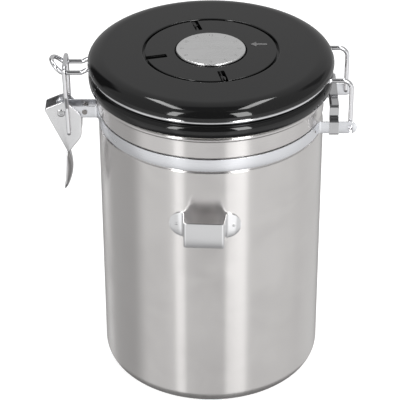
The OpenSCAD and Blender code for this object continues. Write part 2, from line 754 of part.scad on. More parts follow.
// Filter pad in the mouth of the valve
module valve_filter() {
    high = seat_top - 1.2 - fit_gap;
    color([0.9, 0.9, 0.86]) translate([0, 0, high - 0.6])
        cylinder(h = 0.6, r = valve_disc_r + 1.45);
}

canister_shell();
scoop_hook();
strap_front();
strap_rear();
hinge_tie_strip();
strap_rivet();
latch_pivot_rivet();
latch_lever();
latch_link();
lid_wire();
lid_top_shell();
lid_base();
lid_gasket();
dial_cover_ring();
arrow_marker();
date_dial();
dial_hub();
dial_retaining_clip();
dial_carrier();
detent_spring();
valve_housing();
valve_disc();
valve_cap();
valve_filter();
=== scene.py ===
"""Visual model of a steel coffee canister with a clamped black lid.

Each sub-assembly is a dataclass that holds its sizes in millimetres, builds its
meshes in metres in the row's frame (+Z up, latch at -X, hinge at +X, scoop
hook at -Y) and dresses them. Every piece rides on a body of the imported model.
"""

import logging
import math
from dataclasses import dataclass
from enum import Enum
from typing import Callable, Iterable, Sequence

import bmesh
import bpy
from mathutils import Matrix, Vector


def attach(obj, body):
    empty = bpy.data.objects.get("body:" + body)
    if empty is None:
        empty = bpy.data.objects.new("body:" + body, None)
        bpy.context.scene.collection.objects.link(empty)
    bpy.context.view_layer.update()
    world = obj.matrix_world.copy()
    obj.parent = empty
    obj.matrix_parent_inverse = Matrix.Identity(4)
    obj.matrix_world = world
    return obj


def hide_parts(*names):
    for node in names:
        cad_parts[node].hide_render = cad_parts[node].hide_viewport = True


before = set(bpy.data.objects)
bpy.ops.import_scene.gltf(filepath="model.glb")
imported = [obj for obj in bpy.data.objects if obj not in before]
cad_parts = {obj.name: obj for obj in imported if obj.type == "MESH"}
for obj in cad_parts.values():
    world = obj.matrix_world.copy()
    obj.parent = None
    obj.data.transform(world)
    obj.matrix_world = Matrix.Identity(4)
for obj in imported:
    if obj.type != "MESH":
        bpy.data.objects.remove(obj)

LOG = logging.getLogger("canister")
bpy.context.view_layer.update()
MM = 0.001
SHARP = 32.0  # degrees between faces above which an edge stays crisp
FIT = 0.05  # clearance between pieces that touch, in millimetres
SHEET_EDGE = 0.16  # radius of a sheet's softened edges, in millimetres

Point = tuple[float, float]
Triple = tuple[float, float, float]
Place = Callable[[float, float, float], Triple]
Feeds = dict[str | int, object]
Inputs = dict[str, tuple[str, object]]
Obj = bpy.types.Object
Mesh = bpy.types.Mesh
BMesh = bmesh.types.BMesh
Material = bpy.types.Material
Node = bpy.types.Node
Socket = bpy.types.NodeSocket
Tree = bpy.types.NodeTree


# Plane geometry


def unit(x: float, y: float) -> Point:
    """Return the direction of (x, y) with length one."""
    size = math.hypot(x, y)
    return x / size, y / size


def polar(radius: float, degrees: float, centre: Point = (0.0, 0.0)) -> Point:
    """Return the point at a distance and an angle from a centre."""
    a = math.radians(degrees)
    return centre[0] + radius * math.cos(a), centre[1] + radius * math.sin(a)


def arc(centre: Point, radius: float, start: float, end: float, steps: int) -> list[Point]:
    """Return steps + 1 points on an arc between two angles in degrees."""
    return [polar(radius, start + (end - start) * i / steps, centre) for i in range(steps + 1)]


def rounded(points: Sequence[Point], radii: Sequence[float] | float, steps: int = 5) -> list[Point]:
    """Round the corners of a closed outline.

    Args:
        points: The outline's corners in order.
        radii: One radius for each corner, or one for all; 0 keeps a corner.
        steps: Spans in each rounded corner.

    Returns:
        The outline with an arc in place of each corner.
    """
    if not isinstance(radii, Sequence):
        radii = [radii] * len(points)
    out: list[Point] = []
    for i, (here, radius) in enumerate(zip(points, radii)):
        before, after = points[i - 1], points[(i + 1) % len(points)]
        u = unit(before[0] - here[0], before[1] - here[1])
        v = unit(after[0] - here[0], after[1] - here[1])
        half = math.acos(max(-1.0, min(1.0, u[0] * v[0] + u[1] * v[1]))) / 2
        if radius <= 0 or half > math.radians(89):
            out.append(here)
            continue
        middle = unit(u[0] + v[0], u[1] + v[1])
        away, reach = radius / math.sin(half), radius / math.tan(half)
        cx, cy = here[0] + middle[0] * away, here[1] + middle[1] * away
        first, last = (math.degrees(math.atan2(here[1] + w[1] * reach - cy, here[0] + w[0] * reach - cx))
                       for w in (u, v))
        out += arc((cx, cy), radius, first, first + (last - first + 180) % 360 - 180, steps)
    return out


def held(profile: Sequence[Point], reach: float = 0.5) -> list[Point]:
    """Add a point near both ends of each long span, which keeps its shading flat.

    Args:
        profile: A closed outline.
        reach: How far from the ends the points lie.

    Returns:
        The longer outline.
    """
    out: list[Point] = []
    for here, after in zip(profile, [*profile[1:], profile[0]]):
        out.append(here)
        size = math.dist(here, after)
        if size > 5 * reach:
            out += [(here[0] + (after[0] - here[0]) * k, here[1] + (after[1] - here[1]) * k)
                    for k in (reach / size, 1 - reach / size)]
    return out


# Mesh making


def flat(u: float, v: float, w: float) -> Triple:
    """Outline in XY, thickness along Z."""
    return u, v, w


def side_on(u: float, v: float, w: float) -> Triple:
    """Outline in XZ, thickness along Y."""
    return u, w, v


def end_on(u: float, v: float, w: float) -> Triple:
    """Outline in YZ, thickness along X."""
    return w, u, v


def as_object(data: bpy.types.ID | None, name: str) -> Obj:
    """Link a new object that shows a mesh, curve, camera or light.

    Args:
        data: What the object shows; None makes an empty.
        name: The object's name.

    Returns:
        The new object.
    """
    made = bpy.data.objects.new(name, data)
    bpy.context.scene.collection.objects.link(made)
    return made


def smooth(mesh: Mesh, sharp: float = SHARP) -> None:
    """Shade a mesh smoothly, with edges over the sharp angle left crisp."""
    mesh.shade_smooth()
    mesh.set_sharp_from_angle(angle=math.radians(sharp))


def plain_mesh(obj: Obj) -> Mesh:
    """Return an object's shape, with its modifiers applied, as a new mesh."""
    graph = bpy.context.evaluated_depsgraph_get()
    return bpy.data.meshes.new_from_object(obj.evaluated_get(graph))


def to_object(bm: BMesh, name: str, sharp: float = SHARP) -> Obj:
    """Turn a working mesh into an object.

    Args:
        bm: The working mesh, which is freed.
        name: The object's name.
        sharp: Angle in degrees above which an edge stays crisp.

    Returns:
        The new object.
    """
    mesh = bpy.data.meshes.new(name)
    bm.to_mesh(mesh)
    bm.free()
    smooth(mesh, sharp)
    return as_object(mesh, name)


def close_mesh(bm: BMesh, name: str, sharp: float = SHARP) -> Obj:
    """Merge doubles, turn the faces outwards and make an object, as to_object does.

    Args:
        bm: The working mesh, which is freed.
        name: The object's name.
        sharp: Angle in degrees above which an edge stays crisp.

    Returns:
        The new object.
    """
    bmesh.ops.remove_doubles(bm, verts=bm.verts, dist=1e-7)
    bmesh.ops.recalc_face_normals(bm, faces=bm.faces)
    return to_object(bm, name, sharp)


def vertex(bm: BMesh, spot: Triple) -> bmesh.types.BMVert:
    """Add a vertex at a spot in millimetres."""
    return bm.verts.new(Vector(spot) * MM)


def skin(bm: BMesh, rows: Sequence[Sequence[bmesh.types.BMVert]], wrap: bool = True) -> None:
    """Span faces between each row of vertices and the next.

    Args:
        bm: The working mesh.
        rows: Rows of the same length. A vertex that fills a whole row is a pole.
        wrap: Whether each row closes on itself.
    """
    for a, b in zip(rows, rows[1:]):
        for k in range(len(a) if wrap else len(a) - 1):
            m = (k + 1) % len(a)
            corners = list(dict.fromkeys((a[k], a[m], b[m], b[k])))
            if len(corners) >= 3:
                bm.faces.new(corners)


def turned(name: str, rows: Sequence[Point], steps: int, centre: Point = (0.0, 0.0), place: Place = flat,
           sharp: float = SHARP) -> Obj:
    """Turn a closed outline of (radius, height) points about an axis.

    Args:
        name: The object's name.
        rows: The outline in millimetres; radius 0 becomes a pole.
        steps: Steps round the axis.
        centre: Where the axis stands.
        place: Says along which axis the height runs.
        sharp: Angle above which an edge stays crisp.

    Returns:
        A closed mesh object.
    """
    bm = bmesh.new()
    rings = []
    for radius, height in rows:
        if radius < 1e-6:
            rings.append([vertex(bm, place(*centre, height))] * steps)
        else:
            ring = (polar(radius, 360 * k / steps, centre) for k in range(steps))
            rings.append([vertex(bm, place(*spot, height)) for spot in ring])
    skin(bm, rings + rings[:1])
    return close_mesh(bm, name, sharp)


def lathe(name: str, profile: Sequence[Point], steps: int = 96, sharp: float = 38.0) -> Obj:
    """Turn an outline about Z, with its long spans shaded flat."""
    return turned(name, held(profile), steps, sharp=sharp)


def slab(name: str, radius: float, low: float, high: float, edge: Point, steps: int = 3,
         sharp: float = 38.0) -> Obj:
    """Turn a round plate about Z, with a rounded edge below and above."""
    rows = rounded([(0, low), (radius, low), (radius, high), (0, high)], [0, *edge, 0], steps)
    return lathe(name, rows, sharp=sharp)


def pin(name: str, radius: float, low: float, high: float, centre: Point, place: Place = side_on,
        edge: float = 0.0, steps: int = 40) -> Obj:
    """Make a round pin.

    Args:
        name: The object's name.
        radius: The pin's radius.
        low: One end along the thickness.
        high: The other end.
        centre: Middle of the pin in the outline's axes.
        place: Says which axes the outline lies in.
        edge: Radius of the softened rim of each end.
        steps: Steps round the pin.

    Returns:
        A closed mesh object.
    """
    rim = [(radius, low), (radius, high)]
    if edge > 0:
        rim = arc((radius - edge, low + edge), edge, -90, 0, 4)
        rim += arc((radius - edge, high - edge), edge, 0, 90, 4)
    return turned(name, [(0.0, low), *rim, (0.0, high)], steps, centre, place)


def prism(name: str, outline: Sequence[Point], low: float, high: float, place: Place = flat) -> Obj:
    """Give an outline a thickness.

    Args:
        name: The object's name.
        outline: Closed outline in millimetres.
        low: Start of the thickness.
        high: End of the thickness.
        place: Says which axes the outline lies in.

    Returns:
        A closed mesh object.
    """
    bm = bmesh.new()
    layers = [[vertex(bm, place(u, v, w)) for u, v in outline] for w in (low, high)]
    for layer in layers:
        bm.faces.new(layer)
    skin(bm, layers)
    return close_mesh(bm, name)


def strip(name: str, path: Sequence[Point], half: Sequence[float], thickness: float, middle: float,
          place: Place = flat, crisp: bool = False) -> Obj:
    """Run a flat strip of sheet along a plane path.

    Args:
        name: The object's name.
        path: Middle line of the strip in the outline's axes.
        half: Half width of the strip at each point of the path.
        thickness: Thickness of the sheet.
        middle: Where the strip's middle lies across its width.
        place: Says which axes the path lies in; the width is the third.
        crisp: Whether the sheet's flats are shaded flat right up to their edges.

    Returns:
        A closed mesh object.
    """
    bm = bmesh.new()
    loops = []
    t = thickness / 2
    for i, here in enumerate(path):
        before, after = path[max(i - 1, 0)], path[min(i + 1, len(path) - 1)]
        du, dv = unit(after[0] - before[0], after[1] - before[1])
        h = max(half[i], 0.02)
        section = rounded([(-t, -h), (t, -h), (t, h), (-t, h)], min(SHEET_EDGE, h * 0.9, t * 0.9), 3)
        if crisp:
            section = held(section, 0.08)
        loops.append([vertex(bm, place(here[0] - dv * a, here[1] + du * a, middle + b))
                      for a, b in section])
    skin(bm, loops)
    for end in (loops[0], loops[-1]):
        bm.faces.new(end)
    return close_mesh(bm, name)


def modify(obj: Obj, kind: str, **values: object) -> None:
    """Add a modifier of a kind, with its values.

    Args:
        obj: The object.
        kind: Blender's name of the modifier.
        **values: Its settings.
    """
    step = obj.modifiers.new(kind.lower(), kind)
    for key, value in values.items():
        setattr(step, key, value)


def bake(obj: Obj, sharp: float = SHARP) -> Obj:
    """Turn an object's modifiers into a plain mesh.

    Args:
        obj: The object, which keeps its name.
        sharp: Angle above which an edge stays crisp.

    Returns:
        The same object.
    """
    mesh = plain_mesh(obj)
    obj.modifiers.clear()
    old, obj.data = obj.data, mesh
    bpy.data.meshes.remove(old)
    smooth(mesh, sharp)
    return obj


def soften(obj: Obj, width: float, segments: int = 3) -> Obj:
    """Round an object's sharp edges by a width in millimetres.

    Args:
        obj: The object.
        width: Width of the rounding.
        segments: Steps across it.

    Returns:
        The same object.
    """
    modify(obj, "BEVEL", width=width * MM, segments=segments, limit_method="ANGLE",
           angle_limit=math.radians(40), use_clamp_overlap=True)
    return bake(obj)


def cut(obj: Obj, *tools: Obj) -> Obj:
    """Take other solids away from an object, and delete them.

    Args:
        obj: The object that is cut.
        *tools: The solids to take away.

    Returns:
        The same object.
    """
    for tool in tools:
        modify(obj, "BOOLEAN", operation="DIFFERENCE", solver="EXACT", object=tool)
    bake(obj)
    for tool in tools:
        bpy.data.objects.remove(tool)
    return obj


def joined(name: str, parts: Sequence[Obj]) -> Obj:
    """Make one object of several.

    Args:
        name: The new object's name.
        parts: The objects, which are deleted.

    Returns:
        The new object.
    """
    bm = bmesh.new()
    for part in parts:
        bm.from_mesh(part.data)
        bpy.data.objects.remove(part)
    return to_object(bm, name)


def spun(obj: Obj, degrees: float) -> Obj:
    """Turn an object's mesh about Z."""
    obj.data.transform(Matrix.Rotation(math.radians(degrees), 4, "Z"))
    return obj


class WireRun:
    """Walks a line of straight lengths and bends, as a wire former does."""

    def __init__(self, start: Vector, side: Vector, heading: Vector) -> None:
        """Start at a point.

        Args:
            start: The point.
            side: Direction from which bends are measured.
            heading: Direction of the wire.
        """
        self.x, self.z = side.normalized(), heading.normalized()
        self.y = self.z.cross(self.x)
        self.points: list[Vector] = [start.copy()]

    def straight(self, length: float) -> "WireRun":
        """Go straight on."""
        self.points.append(self.points[-1] + self.z * length)
        return self

    def bend(self, radius: float, angle: float, side: float = 0.0) -> "WireRun":
        """Turn towards a side.

        Args:
            radius: Radius of the bend.
            angle: How far to turn, in degrees.
            side: Which way, in degrees round the wire from its own X.

        Returns:
            The same run.
        """
        across, along = polar(1, side)
        towards = self.x * across + self.y * along
        centre, axis = self.points[-1] + towards * radius, self.z.cross(towards)
        steps = max(4, int(angle / 4.5))
        for i in range(1, steps + 1):
            turn = Matrix.Rotation(math.radians(angle) * i / steps, 3, axis)
            self.points.append(centre - turn @ towards * radius)
        self.x, self.y, self.z = turn @ self.x, turn @ self.y, turn @ self.z
        return self


def mirrored(points: Iterable[Vector]) -> list[Vector]:
    """Return points on the other side of the XZ plane."""
    return [Vector((p.x, -p.y, p.z)) for p in points]


def domed(points: Iterable[Vector], radius: float) -> tuple[list[Vector], list[float]]:
    """Drop repeated points from a wire's middle line and round both its ends.

    Args:
        points: The wire's middle line.
        radius: The wire's radius.

    Returns:
        The line with its ends, and the size of the section at each point.
    """
    line: list[Vector] = []
    for point in points:
        if not line or (point - line[-1]).length > 1e-4:
            line.append(point)
    steps = (0.35, 0.6, 0.8, 0.92, 0.985)
    first, last = (line[0] - line[1]).normalized(), (line[-1] - line[-2]).normalized()
    head = [line[0] + first * radius * s for s in reversed(steps)]
    tail = [line[-1] + last * radius * s for s in steps]
    sizes = [math.sqrt(1 - s * s) for s in steps]
    return head + line + tail, sizes[::-1] + [1.0] * len(line) + sizes


# Node trees


class NodeBoard:
    """Adds nodes to one tree and wires them."""

    def __init__(self, tree: Tree) -> None:
        """Work on one node tree."""
        self.tree = tree

    def feed(self, node: Node, feeds: Feeds) -> Node:
        """Wire a socket or set a constant on each named input of a node.

        Args:
            node: The node.
            feeds: Sockets or constants by input.

        Returns:
            The same node.
        """
        for key, value in feeds.items():
            if isinstance(value, Socket):
                self.tree.links.new(value, node.inputs[key])
            else:
                node.inputs[key].default_value = value
        return node

    def add(self, kind: str, feeds: Feeds | None = None, **values: object) -> Node:
        """Add a node.

        Args:
            kind: Blender's name of the node.
            feeds: What goes into its inputs.
            **values: Its own properties.

        Returns:
            The new node.
        """
        made = self.tree.nodes.new(kind)
        for key, value in values.items():
            setattr(made, key, value)
        return self.feed(made, feeds or {})

    def math(self, operation: str, *values: Socket | float, clamp: bool = False) -> Socket:
        """Add a Math node fed by sockets or numbers."""
        feeds = dict(enumerate(values))
        return self.add("ShaderNodeMath", feeds, operation=operation, use_clamp=clamp).outputs[0]

    def mix(self, factor: Socket, a: Triple, b: Triple) -> Socket:
        """Blend two colours by a factor."""
        feeds = {"Factor": factor, "A": (*a, 1), "B": (*b, 1)}
        return self.add("ShaderNodeMix", feeds, data_type="RGBA").outputs["Result"]

    def span(self, value: Socket, low: Socket | float, high: Socket | float, out_low: float = 0.0,
             out_high: float = 1.0, **values: object) -> Socket:
        """Map a value from one range to another."""
        feeds = {"Value": value, "From Min": low, "From Max": high, "To Min": out_low, "To Max": out_high}
        return self.add("ShaderNodeMapRange", feeds, **values).outputs["Result"]


Group = tuple[NodeBoard, bpy.types.NodeOutputs, Node]


def open_group(kind: str, name: str, inputs: Inputs, outputs: dict[str, str]) -> Group:
    """Make an empty node group with named sockets.

    Args:
        kind: Blender's name of the kind of tree.
        name: The group's name.
        inputs: Type and default of each input; None leaves Blender's default.
        outputs: Type of each output.

    Returns:
        Its board, the sockets that it is given, and its output node.
    """
    tree = bpy.data.node_groups.new(name, kind)
    for label, (shape, default) in inputs.items():
        made = tree.interface.new_socket(label, in_out="INPUT", socket_type="NodeSocket" + shape)
        if default is not None:
            made.default_value = default
    for label, shape in outputs.items():
        tree.interface.new_socket(label, in_out="OUTPUT", socket_type="NodeSocket" + shape)
    board = NodeBoard(tree)
    return board, board.add("NodeGroupInput").outputs, board.add("NodeGroupOutput")


class NodeTool(Enum):
    """Geometry node trees that the pieces share."""

    SWEPT_WIRE = "swept_wire"
    RING_OF_COPIES = "ring_of_copies"
    SPACED_WELDS = "spaced_welds"


class TreeMaker:
    """Builds the geometry node trees and runs them on an object."""

    def __init__(self) -> None:
        """Build each tree once."""
        self.trees = {NodeTool.SWEPT_WIRE: self._swept_wire(),
                      NodeTool.RING_OF_COPIES: self._ring_of_copies(),
                      NodeTool.SPACED_WELDS: self._spaced_welds()}

    @staticmethod
    def _open(tool: NodeTool, inputs: Inputs) -> Group:
        """Open a tree that is given geometry, some values and a material."""
        given = {"Geometry": ("Geometry", None), **inputs, "Material": ("Material", None)}
        return open_group("GeometryNodeTree", tool.value, given, {"Geometry": "Geometry"})

    @staticmethod
    def _close(group: Group, source: Socket) -> Tree:
        """End a tree in Realize Instances and Set Material.

        Args:
            group: What open_group gave.
            source: The geometry so far.

        Returns:
            The finished tree.
        """
        board, given, out = group
        real = board.add("GeometryNodeRealizeInstances", {"Geometry": source})
        paint = board.add("GeometryNodeSetMaterial",
                          {"Geometry": real.outputs[0], "Material": given["Material"]})
        board.feed(out, {"Geometry": paint.outputs[0]})
        return board.tree

    def _swept_wire(self) -> Tree:
        """Sweep a circle of a given radius along the object's curve.

        Returns:
            The tree.
        """
        inputs = {"Wire Radius": ("Float", 0.00125), "Sides": ("Int", 20)}
        group = board, given, _ = self._open(NodeTool.SWEPT_WIRE, inputs)
        ring = board.add("GeometryNodeCurvePrimitiveCircle",
                         {"Radius": given["Wire Radius"], "Resolution": given["Sides"]})
        sweep = board.add("GeometryNodeCurveToMesh", {
            "Curve": given["Geometry"], "Profile Curve": ring.outputs["Curve"], "Fill Caps": True})
        shade = board.add("GeometryNodeSetShadeSmooth", {"Geometry": sweep.outputs["Mesh"]})
        return self._close(group, shade.outputs["Geometry"])

    def _ring_of_copies(self) -> Tree:
        """Copy the object's mesh at even steps round Z.

        Returns:
            The tree.
        """
        inputs = {"Count": ("Int", 6), "Step Angle": ("Float", 1.0)}
        group = board, given, _ = self._open(NodeTool.RING_OF_COPIES, inputs)
        points = board.add("GeometryNodePoints", {"Count": given["Count"]})
        index = board.add("GeometryNodeInputIndex")
        angle = board.math("MULTIPLY", index.outputs["Index"], given["Step Angle"])
        turn = board.add("ShaderNodeCombineXYZ", {"Z": angle})
        copies = board.add("GeometryNodeInstanceOnPoints", {
            "Points": points.outputs["Points"], "Instance": given["Geometry"],
            "Rotation": turn.outputs["Vector"]})
        return self._close(group, copies.outputs["Instances"])

    def _spaced_welds(self) -> Tree:
        """Stand a shallow button on each point of the object's mesh, facing away from the Z axis.

        Returns:
            The tree.
        """
        group = board, given, _ = self._open(NodeTool.SPACED_WELDS, {"Weld Radius": ("Float", 0.0007)})
        button = board.add("GeometryNodeMeshUVSphere",
                           {"Segments": 20, "Rings": 10, "Radius": given["Weld Radius"]})
        low = board.add("GeometryNodeTransform",
                        {"Geometry": button.outputs["Mesh"], "Scale": (1.0, 1.0, 0.3)})
        where = board.add("GeometryNodeInputPosition")
        level = board.add("ShaderNodeVectorMath", {0: where.outputs["Position"], 1: (1.0, 1.0, 0.0)},
                          operation="MULTIPLY")
        aim = board.add("FunctionNodeAlignRotationToVector", {"Vector": level.outputs["Vector"]}, axis="Z")
        copies = board.add("GeometryNodeInstanceOnPoints", {
            "Points": given["Geometry"], "Instance": low.outputs["Geometry"],
            "Rotation": aim.outputs["Rotation"]})
        shade = board.add("GeometryNodeSetShadeSmooth", {"Geometry": copies.outputs["Instances"]})
        return self._close(group, shade.outputs["Geometry"])

    def run(self, tool: NodeTool, obj: Obj, material: Material, **values: float) -> Obj:
        """Apply a tree to an object and keep the result as a plain mesh.

        Args:
            tool: Which tree to use.
            obj: The object whose curve or mesh feeds the tree.
            material: Material of the result.
            **values: Inputs by label, with spaces as underscores.

        Returns:
            A mesh object with the source object's name.
        """
        wanted = {"Material": material, **{key.replace("_", " "): value for key, value in values.items()}}
        step = obj.modifiers.new(tool.value, "NODES")
        step.node_group = self.trees[tool]
        for item in step.node_group.interface.items_tree:
            if item.in_out == "INPUT" and item.name in wanted:
                step[item.identifier] = wanted[item.name]
        mesh, name = plain_mesh(obj), obj.name
        bpy.data.objects.remove(obj)
        smooth(mesh)
        mesh.name = name
        return as_object(mesh, name)


# Materials


class EffectGroups:
    """Shader node groups that more than one finish uses."""

    def __init__(self) -> None:
        """Build the groups once."""
        self.grain, self.handling, self.edge_wear = self._grain(), self._handling(), self._edge_wear()

    @staticmethod
    def _grain() -> Tree:
        """Fine brushed lines: long along one way and short across it.

        Returns:
            The group.
        """
        board, given, out = open_group(
            "ShaderNodeTree", "brushed_grain",
            {"Vector": ("Vector", (0, 0, 0)), "Stretch": ("Vector", (40, 40, 4000)),
             "Contrast": ("Float", 1.0)},
            {"Lines": "Float", "Bands": "Float"})
        scaled = board.add("ShaderNodeVectorMath", {0: given["Vector"], 1: given["Stretch"]},
                           operation="MULTIPLY")
        where = scaled.outputs[0]
        fine = board.add("ShaderNodeTexNoise",
                         {"Vector": where, "Scale": 1.0, "Detail": 3.0, "Roughness": 0.6})
        wide = board.add("ShaderNodeTexNoise", {"Vector": where, "Scale": 0.12, "Detail": 1.0})
        strong = board.math("MULTIPLY", board.math("SUBTRACT", fine.outputs["Fac"], 0.5), given["Contrast"])
        board.feed(out, {"Lines": board.math("ADD", strong, 0.5, clamp=True), "Bands": wide.outputs["Fac"]})
        return board.tree

    @staticmethod
    def _handling() -> Tree:
        """Soft cloudy patches and specks, as wiping and handling leave.

        Returns:
            The group.
        """
        board, given, out = open_group(
            "ShaderNodeTree", "handling_marks", {"Vector": ("Vector", (0, 0, 0)), "Scale": ("Float", 45.0)},
            {"Cloud": "Float", "Speck": "Float"})
        where, scale = given["Vector"], given["Scale"]
        cloud = board.add("ShaderNodeTexNoise",
                          {"Vector": where, "Scale": scale, "Detail": 4.0, "Distortion": 0.6})
        dense = board.math("MULTIPLY", scale, 9.0)
        speck = board.add("ShaderNodeTexVoronoi", {"Vector": where, "Scale": dense})
        board.feed(out, {"Cloud": cloud.outputs["Fac"],
                         "Speck": board.span(speck.outputs["Distance"], 0.0, 0.09, 1.0, 0.0)})
        return board.tree

    @staticmethod
    def _edge_wear() -> Tree:
        """Mask of rubbed outer edges.

        Returns:
            The group.
        """
        board, given, out = open_group("ShaderNodeTree", "edge_wear",
                                       {"Low": ("Float", 0.52), "High": ("Float", 0.6)}, {"Mask": "Float"})
        shape = board.add("ShaderNodeNewGeometry")
        board.feed(out, {"Mask": board.span(shape.outputs["Pointiness"], given["Low"], given["High"])})
        return board.tree


class Grain(Enum):
    """Which way a metal finish is brushed: stretch of its pattern per metre."""

    ROUND_THE_WALL = (26.0, 26.0, 5200.0)
    ALONG_X = (60.0, 5200.0, 60.0)
    POLISHED = (420.0, 420.0, 420.0)


@dataclass(frozen=True)
class Finish:
    """What every surface has: a name, two linear colours and a span of roughness."""

    name: str
    colour: Triple
    second: Triple
    rough: Point

    def start(self, effects: EffectGroups,
              marks_scale: float) -> tuple[Material, NodeBoard, Node, Socket, Node]:
        """Begin the material.

        Args:
            effects: The shared shader groups.
            marks_scale: Scale of the handling marks.

        Returns:
            The material, its board, its shader, Object coordinates and the handling marks.
        """
        made = bpy.data.materials.new(self.name)
        made.use_nodes = True
        board = NodeBoard(made.node_tree)
        where = board.add("ShaderNodeTexCoord").outputs["Object"]
        marks = board.add("ShaderNodeGroup", node_tree=effects.handling)
        board.feed(marks, {"Vector": where, "Scale": marks_scale})
        return made, board, made.node_tree.nodes["Principled BSDF"], where, marks

    @staticmethod
    def emboss(board: NodeBoard, shader: Node, height: Socket, strength: float, depth: float) -> None:
        """Give a shader a fine relief."""
        bump = board.add("ShaderNodeBump", {"Strength": strength, "Distance": depth, "Height": height})
        board.feed(shader, {"Normal": bump.outputs["Normal"]})


@dataclass(frozen=True)
class MetalFinish(Finish):
    """A bare metal surface: its bright and its dull colour, mixed by the grain."""

    grain: Grain = Grain.POLISHED
    relief: float = 0.0
    anisotropy: float = 0.0

    def build(self, effects: EffectGroups) -> Material:
        """Make the material.

        Args:
            effects: The shared shader groups.

        Returns:
            A Blender material.
        """
        made, board, shader, where, marks = self.start(effects, 38.0)
        grain = board.add("ShaderNodeGroup", node_tree=effects.grain)
        board.feed(grain, {"Vector": where, "Stretch": self.grain.value, "Contrast": 1.6})
        tone = board.math("ADD", board.math("MULTIPLY", grain.outputs["Lines"], 0.65),
                          board.math("MULTIPLY", grain.outputs["Bands"], 0.35))
        cloud = board.span(marks.outputs["Cloud"], 0.35, 0.7, -0.03, 0.04)
        rough = board.math("ADD", board.span(tone, 0.25, 0.75, *self.rough),
                           board.math("MULTIPLY", cloud, self.rough[1] * 4), clamp=True)
        board.feed(shader, {"Metallic": 1.0, "Base Color": board.mix(tone, self.second, self.colour),
                            "Roughness": rough})
        if self.relief > 0:
            self.emboss(board, shader, grain.outputs["Lines"], self.relief, 0.00004)
        if self.anisotropy > 0:
            tangent = board.add("ShaderNodeTangent", direction_type="RADIAL", axis="Z")
            board.feed(shader, {"Anisotropic": self.anisotropy, "Anisotropic Rotation": 0.25,
                                "Tangent": tangent.outputs["Tangent"]})
        return made


@dataclass(frozen=True)
class PlasticFinish(Finish):
    """A moulded plastic, rubber or felt surface: its colour and that of its marks."""

    texture: float = 0.0
    texture_scale: float = 900.0
    wear: float = 0.0

    def build(self, effects: EffectGroups) -> Material:
        """Make the material.

        Args:
            effects: The shared shader groups.

        Returns:
            A Blender material.
        """
        made, board, shader, where, marks = self.start(effects, 30.0)
        wear = board.add("ShaderNodeGroup", node_tree=effects.edge_wear)
        blend = board.math("ADD", board.math("MULTIPLY", marks.outputs["Speck"], 0.10),
                           board.math("MULTIPLY", wear.outputs["Mask"], self.wear), clamp=True)
        rough = board.math("ADD", board.span(marks.outputs["Cloud"], 0.3, 0.7, *self.rough),
                           board.math("MULTIPLY", blend, 0.25), clamp=True)
        board.feed(shader, {"Base Color": board.mix(blend, self.colour, self.second), "Roughness": rough})
        if self.texture > 0:
            noise = board.add("ShaderNodeTexNoise",
                              {"Vector": where, "Scale": self.texture_scale, "Detail": 2.0})
            self.emboss(board, shader, noise.outputs["Fac"], self.texture, 0.00012)
        return made


FINISHES = {
    "wall": MetalFinish("wall_brushed_steel", (0.79, 0.77, 0.76), (0.72, 0.70, 0.69), (0.20, 0.23),
                        Grain.ROUND_THE_WALL, 0.03, 0.95),
    "strip": MetalFinish("strip_polished_steel", (0.89, 0.89, 0.90), (0.82, 0.82, 0.83), (0.19, 0.26),
                         relief=0.03),
    "tie": MetalFinish("tie_polished_steel", (0.66, 0.66, 0.67), (0.60, 0.60, 0.61), (0.05, 0.09)),
    "hook": MetalFinish("hook_brushed_steel", (0.85, 0.85, 0.86), (0.78, 0.78, 0.79), (0.16, 0.20),
                        Grain.ROUND_THE_WALL, 0.03, 0.6),
    "rivet": MetalFinish("rivet_dull_steel", (0.36, 0.34, 0.33), (0.27, 0.26, 0.25), (0.20, 0.30)),
    "strap": MetalFinish("strap_pale_steel", (0.91, 0.92, 0.95), (0.84, 0.85, 0.88), (0.26, 0.34),
                         Grain.ROUND_THE_WALL, 0.03),
    "wire": MetalFinish("wire_bright_steel", (0.88, 0.88, 0.90), (0.80, 0.80, 0.82), (0.09, 0.13)),
    "dial": MetalFinish("dial_brushed_metal", (0.84, 0.84, 0.84), (0.76, 0.76, 0.76), (0.26, 0.32),
                        Grain.ALONG_X, 0.04),
    "spring": MetalFinish("spring_steel", (0.62, 0.61, 0.58), (0.50, 0.49, 0.46), (0.18, 0.28)),
    "lid": PlasticFinish("lid_gloss_black", (0.0040, 0.0040, 0.0042), (0.02, 0.02, 0.02), (0.05, 0.08),
                         wear=0.1),
    "inner": PlasticFinish("inner_moulded_black", (0.014, 0.014, 0.015), (0.035, 0.035, 0.035),
                           (0.34, 0.46), texture=0.12, wear=0.15),
    "silicone": PlasticFinish("seal_silicone", (0.62, 0.62, 0.59), (0.50, 0.50, 0.47), (0.42, 0.55),
                              texture=0.08),
    "felt": PlasticFinish("filter_felt", (0.72, 0.70, 0.64), (0.60, 0.58, 0.52), (0.80, 0.95), texture=0.9,
                          texture_scale=2600.0),
    "print": PlasticFinish("print_grey", (0.16, 0.16, 0.16), (0.22, 0.22, 0.22), (0.45, 0.6), texture=0.05),
    "numbers": PlasticFinish("numbers_etched_grey", (0.27, 0.27, 0.27), (0.33, 0.33, 0.33), (0.45, 0.6),
                             texture=0.05),
}


# Sub-assemblies


